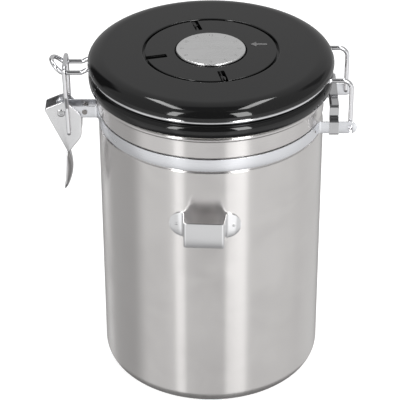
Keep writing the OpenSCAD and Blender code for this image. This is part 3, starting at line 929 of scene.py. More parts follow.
@dataclass(frozen=True)
class Sizes:
    """Lengths that several sub-assemblies share, in millimetres."""

    body_r: float = 62.0
    body_h: float = 176.9
    wall: float = 0.6
    strap_z: float = 159.0
    strap_h: float = 7.1
    strap_t: float = 0.8
    strap_r: float = 61.85
    hinge_x: float = 75.6
    ear_y: float = 21.5
    pivot_x: float = -82.4
    pivot_hole: float = 1.95
    tab_rivet_x: float = -69.5
    tab_y: float = 3.9
    wire_r: float = 1.25
    ring_r: float = 64.4
    ring_z: float = 186.4
    arm_z: float = 184.8
    lid_top: float = 195.3
    plug_low: float = 169.0
    moulding: float = 1.8


SIZES = Sizes()


@dataclass
class SubAssembly:
    """Shared ways of dressing a piece and putting it on its body."""

    palette: dict[str, Material]
    trees: TreeMaker
    body: str = "body"

    def dress(self, piece: Obj, finish: str, slot: str, *nodes: str) -> Obj:
        """Paint a piece, put it on this body and hide the CAD nodes that it stands for.

        Args:
            piece: The finished mesh object.
            finish: Short name of the finish.
            slot: Not used.
            *nodes: CAD nodes that the piece stands for.

        Returns:
            The same piece.
        """
        piece.data.materials.clear()
        piece.data.materials.append(self.palette[finish])
        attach(piece, self.body)
        if nodes:
            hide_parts(*nodes)
        LOG.info("%s rides on %s, %d faces", piece.name, self.body, len(piece.data.polygons))
        return piece

    def keep(self, node: str, finish: str) -> None:
        """Show a CAD node as it is, with a finish from the palette.

        Args:
            node: The node's name.
            finish: Short name of the finish.
        """
        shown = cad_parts[node]
        shown.data.materials.clear()
        shown.data.materials.append(self.palette[finish])
        LOG.info("%s is kept from the CAD model", node)

    def wire(self, name: str, points: Iterable[Vector], radius: float, finish: str) -> Obj:
        """Sweep a round wire with rounded ends along points given in millimetres.

        Args:
            name: The object's name.
            points: The wire's middle line.
            radius: The wire's radius in millimetres.
            finish: Short name of the finish.

        Returns:
            A mesh object.
        """
        line, sizes = domed(points, radius)
        curve = bpy.data.curves.new(name, "CURVE")
        curve.dimensions = "3D"
        spline = curve.splines.new("POLY")
        spline.points.add(len(line) - 1)
        for knot, point, size in zip(spline.points, line, sizes):
            knot.co = (*(point * MM), 1.0)
            knot.radius = size
        return self.trees.run(NodeTool.SWEPT_WIRE, as_object(curve, name), self.palette[finish],
                              Wire_Radius=radius * MM)

    def welds(self, name: str, spots: Sequence[Triple], size: float, finish: str) -> Obj:
        """Put weld buttons on the wall.

        Args:
            name: The object's name.
            spots: Distance from the axis, angle from +X and height of each button.
            size: Radius of a button in millimetres.
            finish: Short name of the finish.

        Returns:
            A mesh object.
        """
        mesh = bpy.data.meshes.new(name)
        mesh.from_pydata([Vector((*polar(r, a), z)) * MM for r, a, z in spots], [], [])
        return self.trees.run(NodeTool.SPACED_WELDS, as_object(mesh, name), self.palette[finish],
                              Weld_Radius=size * MM)


@dataclass
class CanisterWall(SubAssembly):
    """The drawn steel cup with its rolled rim."""

    corner: float = 8.3
    rim: float = 1.6
    seat_depth: float = 0.6
    gap_depth: float = 1.15
    bead: Point = (39.5, 46.5)
    bead_height: float = 1.1

    def profile(self) -> list[Point]:
        """Outline of the wall, the rim curl, the strap's seat and the floor bead.

        Returns:
            A closed outline of (radius, height) points.
        """
        s, t, d = SIZES, SIZES.wall, self.seat_depth
        start, end = self.bead
        bead = [(start + (end - start) * k / 10, self.bead_height * abs(math.sin(math.pi * k / 10)) ** 0.8)
                for k in range(11)]
        low, high = s.strap_z - s.strap_h / 2 - 0.8, s.strap_z + s.strap_h / 2 + 0.25
        deep = s.body_r - self.gap_depth
        seat = [(s.body_r - d * (0.5 - 0.5 * math.cos(math.pi * i / 4)), low - d + d * i / 4)
                for i in range(5)]
        seat += [(s.body_r - d, low + 1.6), (deep, low + 3.2), (deep, high), (s.body_r - 0.2, high + 0.3),
                 (s.body_r, high + 0.6)]
        base = (s.body_r - self.corner, self.corner)
        rim = (s.body_r - t + self.rim, s.body_h - self.rim)
        outside = [(0, 0), (start - 0.6, 0), *bead, (end + 0.6, 0)]
        outside += arc(base, self.corner, -90, 0, 20) + seat
        curl = arc(rim, self.rim - t, 180, -100, 20) + arc(rim, self.rim, -100, 180, 28)
        inside = [(r - t, z) for r, z in reversed(seat)] + arc(base, self.corner - t, 0, -90, 20)
        return outside + curl + inside + [(r, z + t) for r, z in reversed(bead)] + [(0, t)]

    def build(self) -> None:
        """Make the wall."""
        self.dress(lathe("wall_cup", self.profile(), 256, 40), "wall", "steel_body", "canister_shell")


@dataclass
class Straps(SubAssembly):
    """The two strap halves with their latch tabs, hinge ears and welds."""

    bend: float = 2.4
    weld_angle: float = 335.0
    weld_size: float = 0.75
    rivet_hole: float = 1.15

    def path(self) -> tuple[list[Point], list[float]]:
        """Middle line of the front half and the half height along it.

        Returns:
            The line from latch to hinge, and the half height at each of its points.
        """
        s, full, far = SIZES, SIZES.strap_h / 2, SIZES.strap_r + self.bend
        tab = math.degrees(math.asin((s.tab_y + self.bend) / far))
        ear = math.degrees(math.asin((s.ear_y + self.bend) / far))
        body = [(s.pivot_x, -s.tab_y), (s.pivot_x + 4, -s.tab_y)]
        body += arc(polar(far, 180 + tab), self.bend, 90, tab, 8)
        body += arc((0, 0), s.strap_r, 180 + tab, 360 - ear, 90)[1:]
        body += arc(polar(far, -ear), self.bend, 180 - ear, 90, 8)[1:]
        body += [(s.hinge_x - 4, -s.ear_y), (s.hinge_x, -s.ear_y)]
        nose = [polar(full, a) for a in range(7, 90, 7)]
        line = [(s.pivot_x - out, -s.tab_y) for _, out in reversed(nose)] + body
        line += [(s.hinge_x + out, -s.ear_y) for _, out in nose]
        heights = [height for height, _ in nose]
        return line, heights[::-1] + [full] * len(body) + heights

    def build(self) -> None:
        """Make both halves."""
        s = SIZES
        line, half = self.path()
        for sign, side in ((1, "front"), (-1, "rear")):
            band = strip(f"strap_band_{side}", [(x, y * sign) for x, y in line], half, s.strap_t, s.strap_z)
            holes = [pin("hole", radius, y * sign - deep, y * sign + deep, (x, s.strap_z))
                     for radius, x, y, deep in ((s.wire_r + FIT, s.hinge_x, -s.ear_y, 1),
                                                (self.rivet_hole, s.tab_rivet_x, -3, 2),
                                                (s.pivot_hole, s.pivot_x, -3, 2))]
            self.dress(cut(band, *holes), "strap", "steel_strip", f"strap_{side}")
            spot = (s.strap_r + s.strap_t / 2, self.weld_angle * sign, s.strap_z)
            weld = self.welds(f"strap_weld_{side}", [spot], self.weld_size, "rivet")
            self.dress(weld, "rivet", "steel_strip", f"strap_{side}")


@dataclass
class HingeTie(SubAssembly):
    """The strip that bridges the hinge ears and is folded round them."""

    width: float = 5.2
    middle: float = 66.7
    arch: float = 8.5
    step: float = 3.7
    lip: float = 2.4

    def build(self) -> None:
        """Make the folded strip."""
        s, t = SIZES, SIZES.strap_t
        side = s.ear_y + t + FIT
        low, ledge = (s.strap_z + way * (s.strap_h / 2 + FIT + t / 2) for way in (-1, 1))
        high = s.strap_z + s.strap_h / 2 + self.arch - t / 2
        post, lip = s.ear_y + t - self.step, side - t / 2 - self.lip
        half = [(side, low), (side, ledge), (post, ledge), (post, high)]
        bends = [0.9, 0.5, 0.8, 1.2]
        loop = rounded(half + [(-y, z) for y, z in reversed(half)], bends + bends[::-1], 7)
        line = held([(lip, low)] + loop + [(-lip, low)], 0.3)[:-2]
        half_width = [self.width / 2] * len(line)
        folded = strip("hinge_tie_fold", line, half_width, t, self.middle, end_on, crisp=True)
        self.dress(folded, "tie", "steel_strip", "hinge_tie_strip")


@dataclass
class Latch(SubAssembly):
    """Lever, finger tab, rivets and wire link."""

    width: float = 11.1
    sheet: float = 0.8
    outline: tuple[Point, ...] = ((-9.4, 2.4), (2.5, 7.6), (11.2, -1.5), (10.8, -15.0), (3.0, -25.4))
    corners: tuple[float, ...] = (1.5, 5.0, 6.0, 8.0, 0.8)
    link_pin: Point = (4.0, -12.2)
    finger_root: Point = (2.3, -24.2)
    finger_length: float = 26.0
    finger_width: float = 12.0
    finger_dish: float = 3.2
    finger_sheet: float = 0.85
    finger_tilt: float = 4.0
    link_half: float = 9.3
    link_step: float = 12.0
    foot_bend: float = 1.6

    def channel(self) -> Obj:
        """The pressed channel: two cheeks joined along their back edge.

        Returns:
            A closed mesh object.
        """
        s, t, half = SIZES, self.sheet, self.width / 2
        x0, z0 = s.pivot_x, s.strap_z
        points = [(x0 + x, z0 + z) for x, z in rounded(self.outline, self.corners, 7)]
        outer = soften(prism("lever_channel", points, -half, half, side_on), 0.45)
        (ax, az), (bx, bz) = self.outline[0], self.outline[-1]
        ux, uz = unit(bx - ax, bz - az)
        corners = ((ax, az, -10, t), (bx, bz, -1.5, t), (bx, bz, -1.5, t + 30), (ax, az, -10, t + 30))
        hollow = [(x0 + x + along * ux - deep * uz, z0 + z + along * uz + deep * ux)
                  for x, z, along, deep in corners]
        foot = (x0 + self.link_pin[0], z0 + self.link_pin[1])
        return cut(outer, prism("hollow", hollow, t - half, half - t, side_on),
                   pin("hole", s.pivot_hole, -9, 9, (x0, z0)), pin("hole", s.wire_r + FIT, -9, 9, foot))

    def finger(self) -> Obj:
        """The dished finger tab below the channel.

        Returns:
            A closed mesh object.
        """
        rows, cols, half = 26, 16, self.finger_width / 2
        x0, z0 = SIZES.pivot_x + self.finger_root[0], SIZES.strap_z + self.finger_root[1]
        cos, sin = polar(1, self.finger_tilt)
        bm = bmesh.new()
        grid = []
        for u in (i / rows for i in range(rows + 1)):
            wide = half * (0.72 + 0.28 * min(u / 0.12, 1.0))
            if u > 0.8:
                wide = half * math.sqrt(1 - ((u - 0.8) / 0.22) ** 2)
            dish = self.finger_dish * max(math.sin(math.pi * u), 0.0) ** 0.8
            lip, z = 30 * max(u - 0.85, 0.0) ** 2, -u * self.finger_length
            row = []
            for v in (2 * j / cols - 1 for j in range(cols + 1)):
                x = dish * (1 - abs(v) ** 2.4) - lip
                row.append(vertex(bm, (x0 + x * cos + z * sin, v * wide, z0 + z * cos - x * sin)))
            grid.append(row)
        skin(bm, grid, wrap=False)
        plate = close_mesh(bm, "finger_tab", 60)
        modify(plate, "SOLIDIFY", thickness=self.finger_sheet * MM, offset=0.0, use_even_offset=True)
        bake(plate, 60)
        modify(plate, "SUBSURF", levels=1, render_levels=1)
        return bake(plate, 70)

    def rivets(self) -> None:
        """The lever's eyelet and the rivet between the tabs."""
        s = SIZES
        face = self.width / 2 + FIT
        head = face + 0.4
        half = [(0.0, 0.55 - head), (0.75, 0.55 - head), (0.95, 0.08 - head), (1.25, -head),
                (1.9, 0.02 - head), (2.25, -face - 0.1), (2.25, -face), (1.9, -face)]
        rows = held(half + [(r, -z) for r, z in reversed(half)])
        eyelet = turned("pivot_eyelet", rows, 48, (s.pivot_x, s.strap_z), side_on, 50)
        self.dress(eyelet, "tie", "steel_strip", "latch_pivot_rivet")
        inner = s.tab_y + s.strap_t / 2 + FIT
        sizes = ((1.1, -inner, inner, 0.0), (1.7, 0.45 - s.tab_y, s.tab_y - 0.45, 0.0),
                 (1.5, inner, inner + 0.35, 0.2), (1.5, -inner - 0.35, -inner, 0.2))
        parts = [pin("rivet", radius, low, high, (s.tab_rivet_x, s.strap_z), edge=edge)
                 for radius, low, high, edge in sizes]
        self.dress(joined("tab_rivet", parts), "rivet", "steel_strip", "strap_rivet")

    def link(self) -> Obj:
        """The wire link: crossbar, legs with an inward step, and turned-in feet.

        Returns:
            A mesh object.
        """
        s, step, foot_r = SIZES, self.link_step, self.foot_bend
        top = (s.pivot_x + 3.0, s.arm_z + 2 * s.wire_r + 0.9)
        low = (s.pivot_x + self.link_pin[0], s.strap_z + self.link_pin[1])
        foot = self.width / 2 + 0.45 + foot_r
        cos, sin = polar(1, step)
        slant = (self.link_half - foot - 20 * (1 - cos)) / sin
        leg = math.dist(top, low) - 2.5 - foot_r - (20 * sin + slant * cos) - 14
        down = Vector((low[0] - top[0], 0, low[1] - top[1]))
        run = WireRun(Vector((top[0], 0, top[1])), down, Vector((0, -1, 0)))
        run.straight(self.link_half - 2.5).bend(2.5, 90).straight(leg)
        run.bend(10, step).straight(slant).bend(10, step, 180).straight(14)
        run.bend(foot_r, 90).straight(foot - foot_r - 4.8)
        return self.wire("link_wire", run.points[::-1] + mirrored(run.points[1:]), s.wire_r, "wire")

    def build(self) -> None:
        """Make the latch on its three bodies."""
        self.rivets()
        self.body = "lever"
        self.dress(self.channel(), "strip", "steel_strip", "latch_lever")
        self.dress(self.finger(), "tie", "steel_strip", "latch_lever")
        self.body = "link"
        self.dress(self.link(), "wire", "steel_wire", "latch_link")


@dataclass
class ClampWire(SubAssembly):
    """The one-piece lid wire: hinge legs, ring in the groove, latch loop."""

    body: str = "lid"
    loop_y: float = 6.55
    tip_angle: float = 42.0
    loop_bend: float = 3.0
    arm_bend: float = 2.5
    leg_bend: float = 5.0
    pin_bend: float = 1.8

    def near_half(self) -> list[Vector]:
        """Points of the near half, from the hinge pin's end to the loop's middle.

        Returns:
            The points in order.
        """
        s, bend, big, pin_r = SIZES, self.loop_bend, self.leg_bend, self.pin_bend
        leg_y = s.ear_y - s.strap_t / 2 - 0.2 - pin_r
        out = math.degrees(math.asin((self.loop_y + bend) / (s.ring_r + bend)))
        leg = math.degrees(math.asin((leg_y + big) / (s.ring_r + big)))
        cos, sin = polar(1, 30)
        slant = (s.ring_z - s.arm_z - 2 * self.arm_bend * (1 - cos)) / sin
        arm = -(s.pivot_x + 2.6) - polar(s.ring_r + bend, out)[0] - 2 * self.arm_bend * sin - slant * cos
        ring = [Vector((*polar(s.ring_r, -leg - (180 - out - leg) * i / 80), s.ring_z)) for i in range(81)]
        loop = WireRun(ring[-1], Vector((*polar(1, 180 + out), 0)), Vector((*polar(1, 90 + out), 0)))
        loop.bend(bend, 90 - out).bend(self.arm_bend, 30, -90).straight(slant).bend(self.arm_bend, 30, 90)
        loop.straight(arm).bend(bend, self.tip_angle, 90).bend(self.loop_y, 90, 180)
        hook = WireRun(ring[0], Vector((*polar(1, -leg), 0)), Vector((*polar(1, 90 - leg), 0)))
        hook.bend(big, 90 - leg).straight(s.hinge_x - polar(s.ring_r + big, leg)[0] - big).bend(big, 90, 90)
        hook.straight(s.ring_z - s.strap_z - big - pin_r).bend(pin_r, 90).straight(1.4).bend(pin_r, 60, 180)
        return hook.points[::-1] + ring + loop.points

    def build(self) -> None:
        """Make the wire."""
        near = self.near_half()
        wire = self.wire("clamp_wire", near + mirrored(near[-2::-1]), SIZES.wire_r, "wire")
        self.dress(wire, "wire", "steel_wire", "lid_wire")


@dataclass
class Lid(SubAssembly):
    """Dome, lower band with the plug, and the seal."""

    body: str = "lid"
    radius: float = 67.1
    crown: float = 58.0
    groove: Point = (184.7, 188.2)
    edge: float = 0.9
    band_low: float = 177.8
    seat: float = 178.6
    neck: float = 63.05
    hole: float = 37.1
    ledge: float = 193.1

    def shoulder(self, shrink: float, angles: Iterable[int]) -> list[Point]:
        """Points of the rounded shoulder, moved inwards, at angles from the top.

        Args:
            shrink: How far inwards.
            angles: Angles from the top in degrees.

        Returns:
            Points of (radius, height).
        """
        wide, low = self.radius - self.crown, self.groove[1] + self.edge
        return [(self.crown + (wide - shrink) * math.sin(math.radians(a)),
                 low + (SIZES.lid_top - low - shrink) * math.cos(math.radians(a))) for a in angles]

    def dome(self) -> Obj:
        """The glossy top with its rounded shoulder.

        Returns:
            A closed mesh object.
        """
        t, top, low, hole = SIZES.moulding, SIZES.lid_top, self.groove[1], self.hole
        rows = arc((hole + 0.6, top - 0.6), 0.6, 180, 90, 5) + [(46.0, top)]
        rows += self.shoulder(0, range(0, 91, 5))
        rows += [(self.radius - 0.08, low + 0.25), (self.radius - 0.4, low), (self.neck + 0.1, low),
                 (self.neck + 0.1, low + 2)] + self.shoulder(t, range(75, -1, -5))
        rows += [(hole + t, top - t), (hole + t, self.ledge - t), (hole - 3.3, self.ledge - t),
                 (hole - 3.3, self.ledge), (hole, self.ledge)]
        return lathe("lid_dome", rows, 256)

    def band(self) -> Obj:
        """The slanted band, groove, neck and hollow plug.

        Returns:
            A closed mesh object.
        """
        top, low, seat, floor, t = self.groove[0], self.band_low, self.seat, SIZES.plug_low, SIZES.moulding
        rows = rounded([
            (10.95, floor), (54.5, floor), (57.3, seat), (65.0, seat), (65.0, low), (66.4, low),
            (67.4, top), (self.neck, top), (self.neck, 190.0), (61.05, 190.0), (61.05, seat + 2),
            (55.5, seat + 2), (52.7, floor + t), (10.95, floor + t)],
            [0.2, 1.6, 0.3, 0.3, 0.3, 0.9, 3.4, 0.3, 0.2, 0.2, 0.5, 0.5, 0.8, 0.2], 8)
        return lathe("lid_band_and_plug", rows, 256)

    def seal(self) -> Obj:
        """The silicone ring with its lip.

        Returns:
            A closed mesh object.
        """
        low, high = 177.1, self.seat - FIT
        rows = rounded([(57.55, high), (64.8, high), (64.8, low), (60.8, low), (60.0, low - 0.8),
                        (58.4, low - 0.8), (57.55, low)], [0.15, 0.2, 0.3, 0.3, 0.25, 0.25, 0.3], 4)
        return lathe("lid_seal", rows, 224, 50)

    def build(self) -> None:
        """Make the three mouldings."""
        self.dress(self.dome(), "lid", "lid_plastic", "lid_top_shell")
        self.dress(self.band(), "lid", "lid_plastic", "lid_base")
        self.dress(self.seal(), "silicone", "seal_silicone", "lid_gasket")


@dataclass
class DateDial(SubAssembly):
    """Cover ring, arrow, date disc with its numbers, and the works below."""

    body: str = "lid"
    outer: float = 35.8
    inner: float = 19.6
    top: float = 195.1
    thick: float = 1.95
    slot_angles: Triple = (105.0, 195.0, 282.0)
    slot_start: float = 24.6
    slot_width: float = 3.8
    disc_r: float = 18.9
    disc_top: float = 196.1
    number_r: float = 15.4
    number_size: float = 3.0
    arrow_tip: Point = (21.4, 6.5)

    def cover(self) -> Obj:
        """The ring with three open-ended slots.

        Returns:
            A closed mesh object.
        """
        low, inner, half, far = self.top - self.thick, self.inner, self.slot_width / 2, self.outer + 4
        rows = rounded([(inner, low - 1.7), (inner + 1.5, low - 1.7), (inner + 1.5, low), (self.outer, low),
                        (self.outer, self.top), (inner, self.top)], [0.2, 0.2, 0.2, 0.2, 0.35, 0.35], 4)
        outline = rounded([(self.slot_start, -half), (far, -half), (far, half), (self.slot_start, half)],
                          [0.6, 0, 0, 0.6], 4)
        ring = lathe("cover_ring", rows, 224)
        slots = [spun(prism("slot", outline, low - 0.6, self.top + 1), a) for a in self.slot_angles]
        return cut(ring, *slots)

    def tongue(self, angle: float) -> list[Obj]:
        """The snap tongue in one slot: a low bar with a nose, which the middle slot's has flat.

        Args:
            angle: The slot's angle in degrees.

        Returns:
            The bar and the nose.
        """
        parts = []
        z, nose = self.top - 1.5, 0.1 if angle == self.slot_angles[1] else 1.3
        for name, x0, x1, y0, y1, low, high, edge, segments in (
                ("tongue", self.slot_start - 0.5, self.outer - 2.0, -0.8, 0.8, z - 1.2, z, 0.25, 3),
                ("nose", self.outer - 5.2, self.outer - 2.2, -0.1, 1.3, z - 0.3, z + nose, 0.45, 4)):
            part = prism(name, [(x0, y0), (x1, y0), (x1, y1), (x0, y1)], low, high)
            parts.append(spun(soften(part, edge, segments), angle))
        return parts

    def arrow(self) -> Obj:
        """The small raised arrow beside the dial.

        Returns:
            A closed mesh object.
        """
        x, y = self.arrow_tip
        shape = [(0, 0), (3.4, 2.6), (3.4, 0.8), (9.2, 0.8), (9.2, -0.8), (3.4, -0.8), (3.4, -2.6)]
        made = prism("dial_arrow", [(x + u, y + v) for u, v in shape], self.top + 0.02, self.top + 0.22)
        return soften(made, 0.06, 2)

    def disc(self) -> Obj:
        """The date disc with its bevelled edge.

        Returns:
            A closed mesh object.
        """
        low, top, r = self.disc_top - 1.2, self.disc_top, self.disc_r
        rows = [(0, low), (r - 0.2, low), (r, low + 0.2)] + arc((r - 0.7, top - 0.7), 0.7, 0, 90, 6)
        return lathe("date_disc", rows + [(0, top)], 224, 40)

    def numbers(self) -> Obj:
        """Twelve small numbers, the twelve at the back, as a thin print.

        Returns:
            A mesh object.
        """
        parts = []
        for number in range(1, 13):
            curve = bpy.data.curves.new("number", "FONT")
            curve.body = str(number)
            curve.size = self.number_size * MM
            curve.align_x = curve.align_y = "CENTER"
            curve.extrude = 0.01 * MM
            made = as_object(curve, "number")
            mesh = plain_mesh(made)
            bpy.data.objects.remove(made)
            turn = -30 * number
            spot = Vector((*polar(self.number_r, 90 + turn), self.disc_top)) * MM
            mesh.transform(Matrix.Translation(spot) @ Matrix.Rotation(math.radians(turn), 4, "Z"))
            parts.append(as_object(mesh, "number"))
        return joined("dial_numbers", parts)

    def hub(self) -> Obj:
        """The black hub with its stem and clip groove.

        Returns:
            A closed mesh object.
        """
        rows = rounded([(0, 184.95), (3, 184.95), (3, 186.3), (2.3, 186.3), (2.3, 187.6), (3, 187.6),
                        (3, 193.7), (18.2, 193.7), (18.2, 194.85), (0, 194.85)],
                       [0, 0.4, 0, 0, 0, 0, 0.2, 0.2, 0.3, 0], 3)
        return lathe("dial_hub_turned", rows, 128)

    def carrier(self) -> Obj:
        """The plate with the stem's bearing.

        Returns:
            A closed mesh object.
        """
        high = self.top - self.thick - 1.75
        rows = rounded([(3.05, high - 3.9), (5, high - 3.9), (5, high - 1.2), (21.1, high - 1.2),
                        (21.1, high), (3.05, high)], [0.2, 0.4, 0.6, 0.2, 0.2, 0.2], 3)
        return lathe("dial_carrier_plate", rows, 128)

    def build(self) -> None:
        """Make the pieces on the lid and on the dial."""
        tongues = [part for angle in self.slot_angles for part in self.tongue(angle)]
        cover = joined("cover_ring_assembly", [self.cover(), *tongues])
        self.dress(cover, "lid", "lid_plastic", "dial_cover_ring")
        self.dress(self.arrow(), "print", "print_grey", "arrow_marker")
        self.dress(self.carrier(), "inner", "lid_plastic", "dial_carrier")
        self.keep("detent_spring", "spring")
        self.body = "dial"
        self.dress(self.disc(), "dial", "dial_metal", "date_dial")
        self.dress(self.numbers(), "numbers", "print_grey")
        self.dress(self.hub(), "inner", "lid_plastic", "dial_hub")
        self.keep("dial_retaining_clip", "spring")


@dataclass
class GasValve(SubAssembly):
    """The one-way valve in the plug's floor."""

    body: str = "lid"
    disc_r: float = 8.0
    disc_t: float = 0.8
    lift: float = 0.6
    filter_t: float = 0.6

    def housing(self, seat: float, step: float) -> Obj:
        """The flanged cup, from the height of its seat and of its step.

        Args:
            seat: Height of the disc's seat.
            step: Height of the cap's step.

        Returns:
            A closed mesh object.
        """
        floor = SIZES.plug_low
        rows = rounded([(3.5, seat - 1.2), (9.5, seat - 1.2), (9.5, floor - 1.3), (14, floor - 1.3),
                        (14, floor - FIT), (10.9, floor - FIT), (10.9, seat + FIT), (11.4, seat + FIT),
                        (10.9, seat + 1.25), (10.9, step + 2.4), (9.2, step + 2.4), (9.2, step),
                        (8.6, step), (8.6, seat), (3.5, seat)],
                       [0.1, 0.2, 0.3, 0.4, 0.3, 0, 0, 0.1, 0.1, 0.3, 0.2, 0.1, 0.1, 0.1, 0.1], 3)
        return lathe("valve_cup", rows, 128)

    def cap(self, low: float) -> Obj:
        """The pierced cap, with its holes laid out by the ring tree.

        Args:
            low: Height of its underside.

        Returns:
            A closed mesh object.
        """
        hole = pin("cap_holes", 1.1, low - 1, low + 3, (self.disc_r * 0.66, 0.0), flat, steps=24)
        holes = self.trees.run(NodeTool.RING_OF_COPIES, hole, self.palette["inner"], Count=6,
                               Step_Angle=math.radians(60))
        return cut(slab("valve_cap_pierced", 9.15, low, low + 1.2, (0.2, 0.3)), holes)

    def build(self) -> None:
        """Make the valve's pieces on the lid and the moving disc."""
        seat = SIZES.plug_low + SIZES.moulding
        step = seat + self.disc_t + self.lift + 0.35
        self.dress(self.housing(seat, step), "inner", "lid_plastic", "valve_housing")
        self.dress(self.cap(step + FIT), "inner", "lid_plastic", "valve_cap")
        high = seat - 1.2 - FIT
        pad = slab("valve_filter_pad", 9.4, high - self.filter_t, high, (0.15, 0.15))
        self.dress(pad, "felt", "filter_felt", "valve_filter")
        self.body = "valve"
        low = seat + FIT
        disc = slab("valve_soft_disc", self.disc_r, low, low + self.disc_t, (0.25, 0.25), 4, 50)
        self.dress(disc, "silicone", "seal_silicone", "valve_disc")


@dataclass
class ScoopHook(SubAssembly):
    """The hat-shaped strip on the front of the wall."""

    height: float = 121.8
    strip_h: float = 15.0
    sheet: float = 0.8
    width: float = 21.8
    reach: float = 10.6
    ear: float = 8.4
    turn: float = -3.0
    flare: float = 0.8
    fold: float = 1.6
    weld_size: float = 0.8

    def build(self) -> None:
        """Make the strip with its ears and welds."""
        t, half, full = self.sheet, self.width / 2, self.strip_h / 2
        wall, front = SIZES.body_r + FIT, SIZES.body_r + self.reach - t / 2
        mid = wall + t / 2
        root = math.degrees(math.asin((half + self.flare - t / 2) / mid))
        end = math.degrees(math.asin((half + self.ear - 0.02) / mid))
        foot = polar(mid, root - 90)
        line = rounded([(0, -front), (half - t / 2, -front), foot, polar(5, root, foot)],
                       [0, 1.2, self.fold, 0], 6)[:-1]
        first = math.degrees(math.asin(line[-1][0] / mid))
        line += arc((0, 0), mid, first - 90, end - 90, 24)[1:]
        over = [max(0.0, x - (half + self.ear - full)) for x, _ in line]
        halves = [math.sqrt(max(full * full - x * x, 0.01)) for x in over]
        path = [(-x, y) for x, y in reversed(line)] + line[1:]
        hook = strip("hook_strip", path, halves[::-1] + halves[1:], t, self.height)
        self.dress(spun(hook, self.turn), "hook", "steel_strip", "scoop_hook")
        spots = [(wall + t, 270 + side * (root + end) / 2 + self.turn, self.height) for side in (-1, 1)]
        welds = self.welds("hook_welds", spots, self.weld_size, "hook")
        self.dress(welds, "hook", "steel_strip", "scoop_hook")


# Studio


@dataclass(frozen=True)
class Panel:
    """A flat area of the studio as polished surfaces see it, in degrees.

    Azimuth 0 is the camera's side and grows to the right.
    """

    azimuth: float
    half_width: float
    low: float
    high: float
    soft: float
    level: float


PANELS = (
    Panel(180, 42, -2, 64, 8, 0.62),  # white wall behind
    Panel(-125, 15, -6, 42, 8, 0.05),  # gap on the left
    Panel(128, 9, 22, 46, 8, 0.22),  # gap on the right
    Panel(0, 27, -4, 80, 10, 0.14),  # camera and operator
    Panel(0, 190, 72, 100, 8, 0.18),  # ceiling
    Panel(180, 30, -90, -4, 14, 0.45),  # table behind
    Panel(-106, 27, -90, -4, 18, 0.53),  # table on the left
    Panel(50, 26, -90, -4, 16, 1.00),  # table by the right light
    Panel(125, 28, -90, -4, 18, 0.84),  # table on the right
    Panel(-32.3, 5, -90, -4, 4, 1.45),  # left light in the table
    Panel(26.3, 11, -90, -4, 6, 1.50),  # right light in the table
    Panel(0, 190, -100, -44, 6, 0.24),  # table close by
)


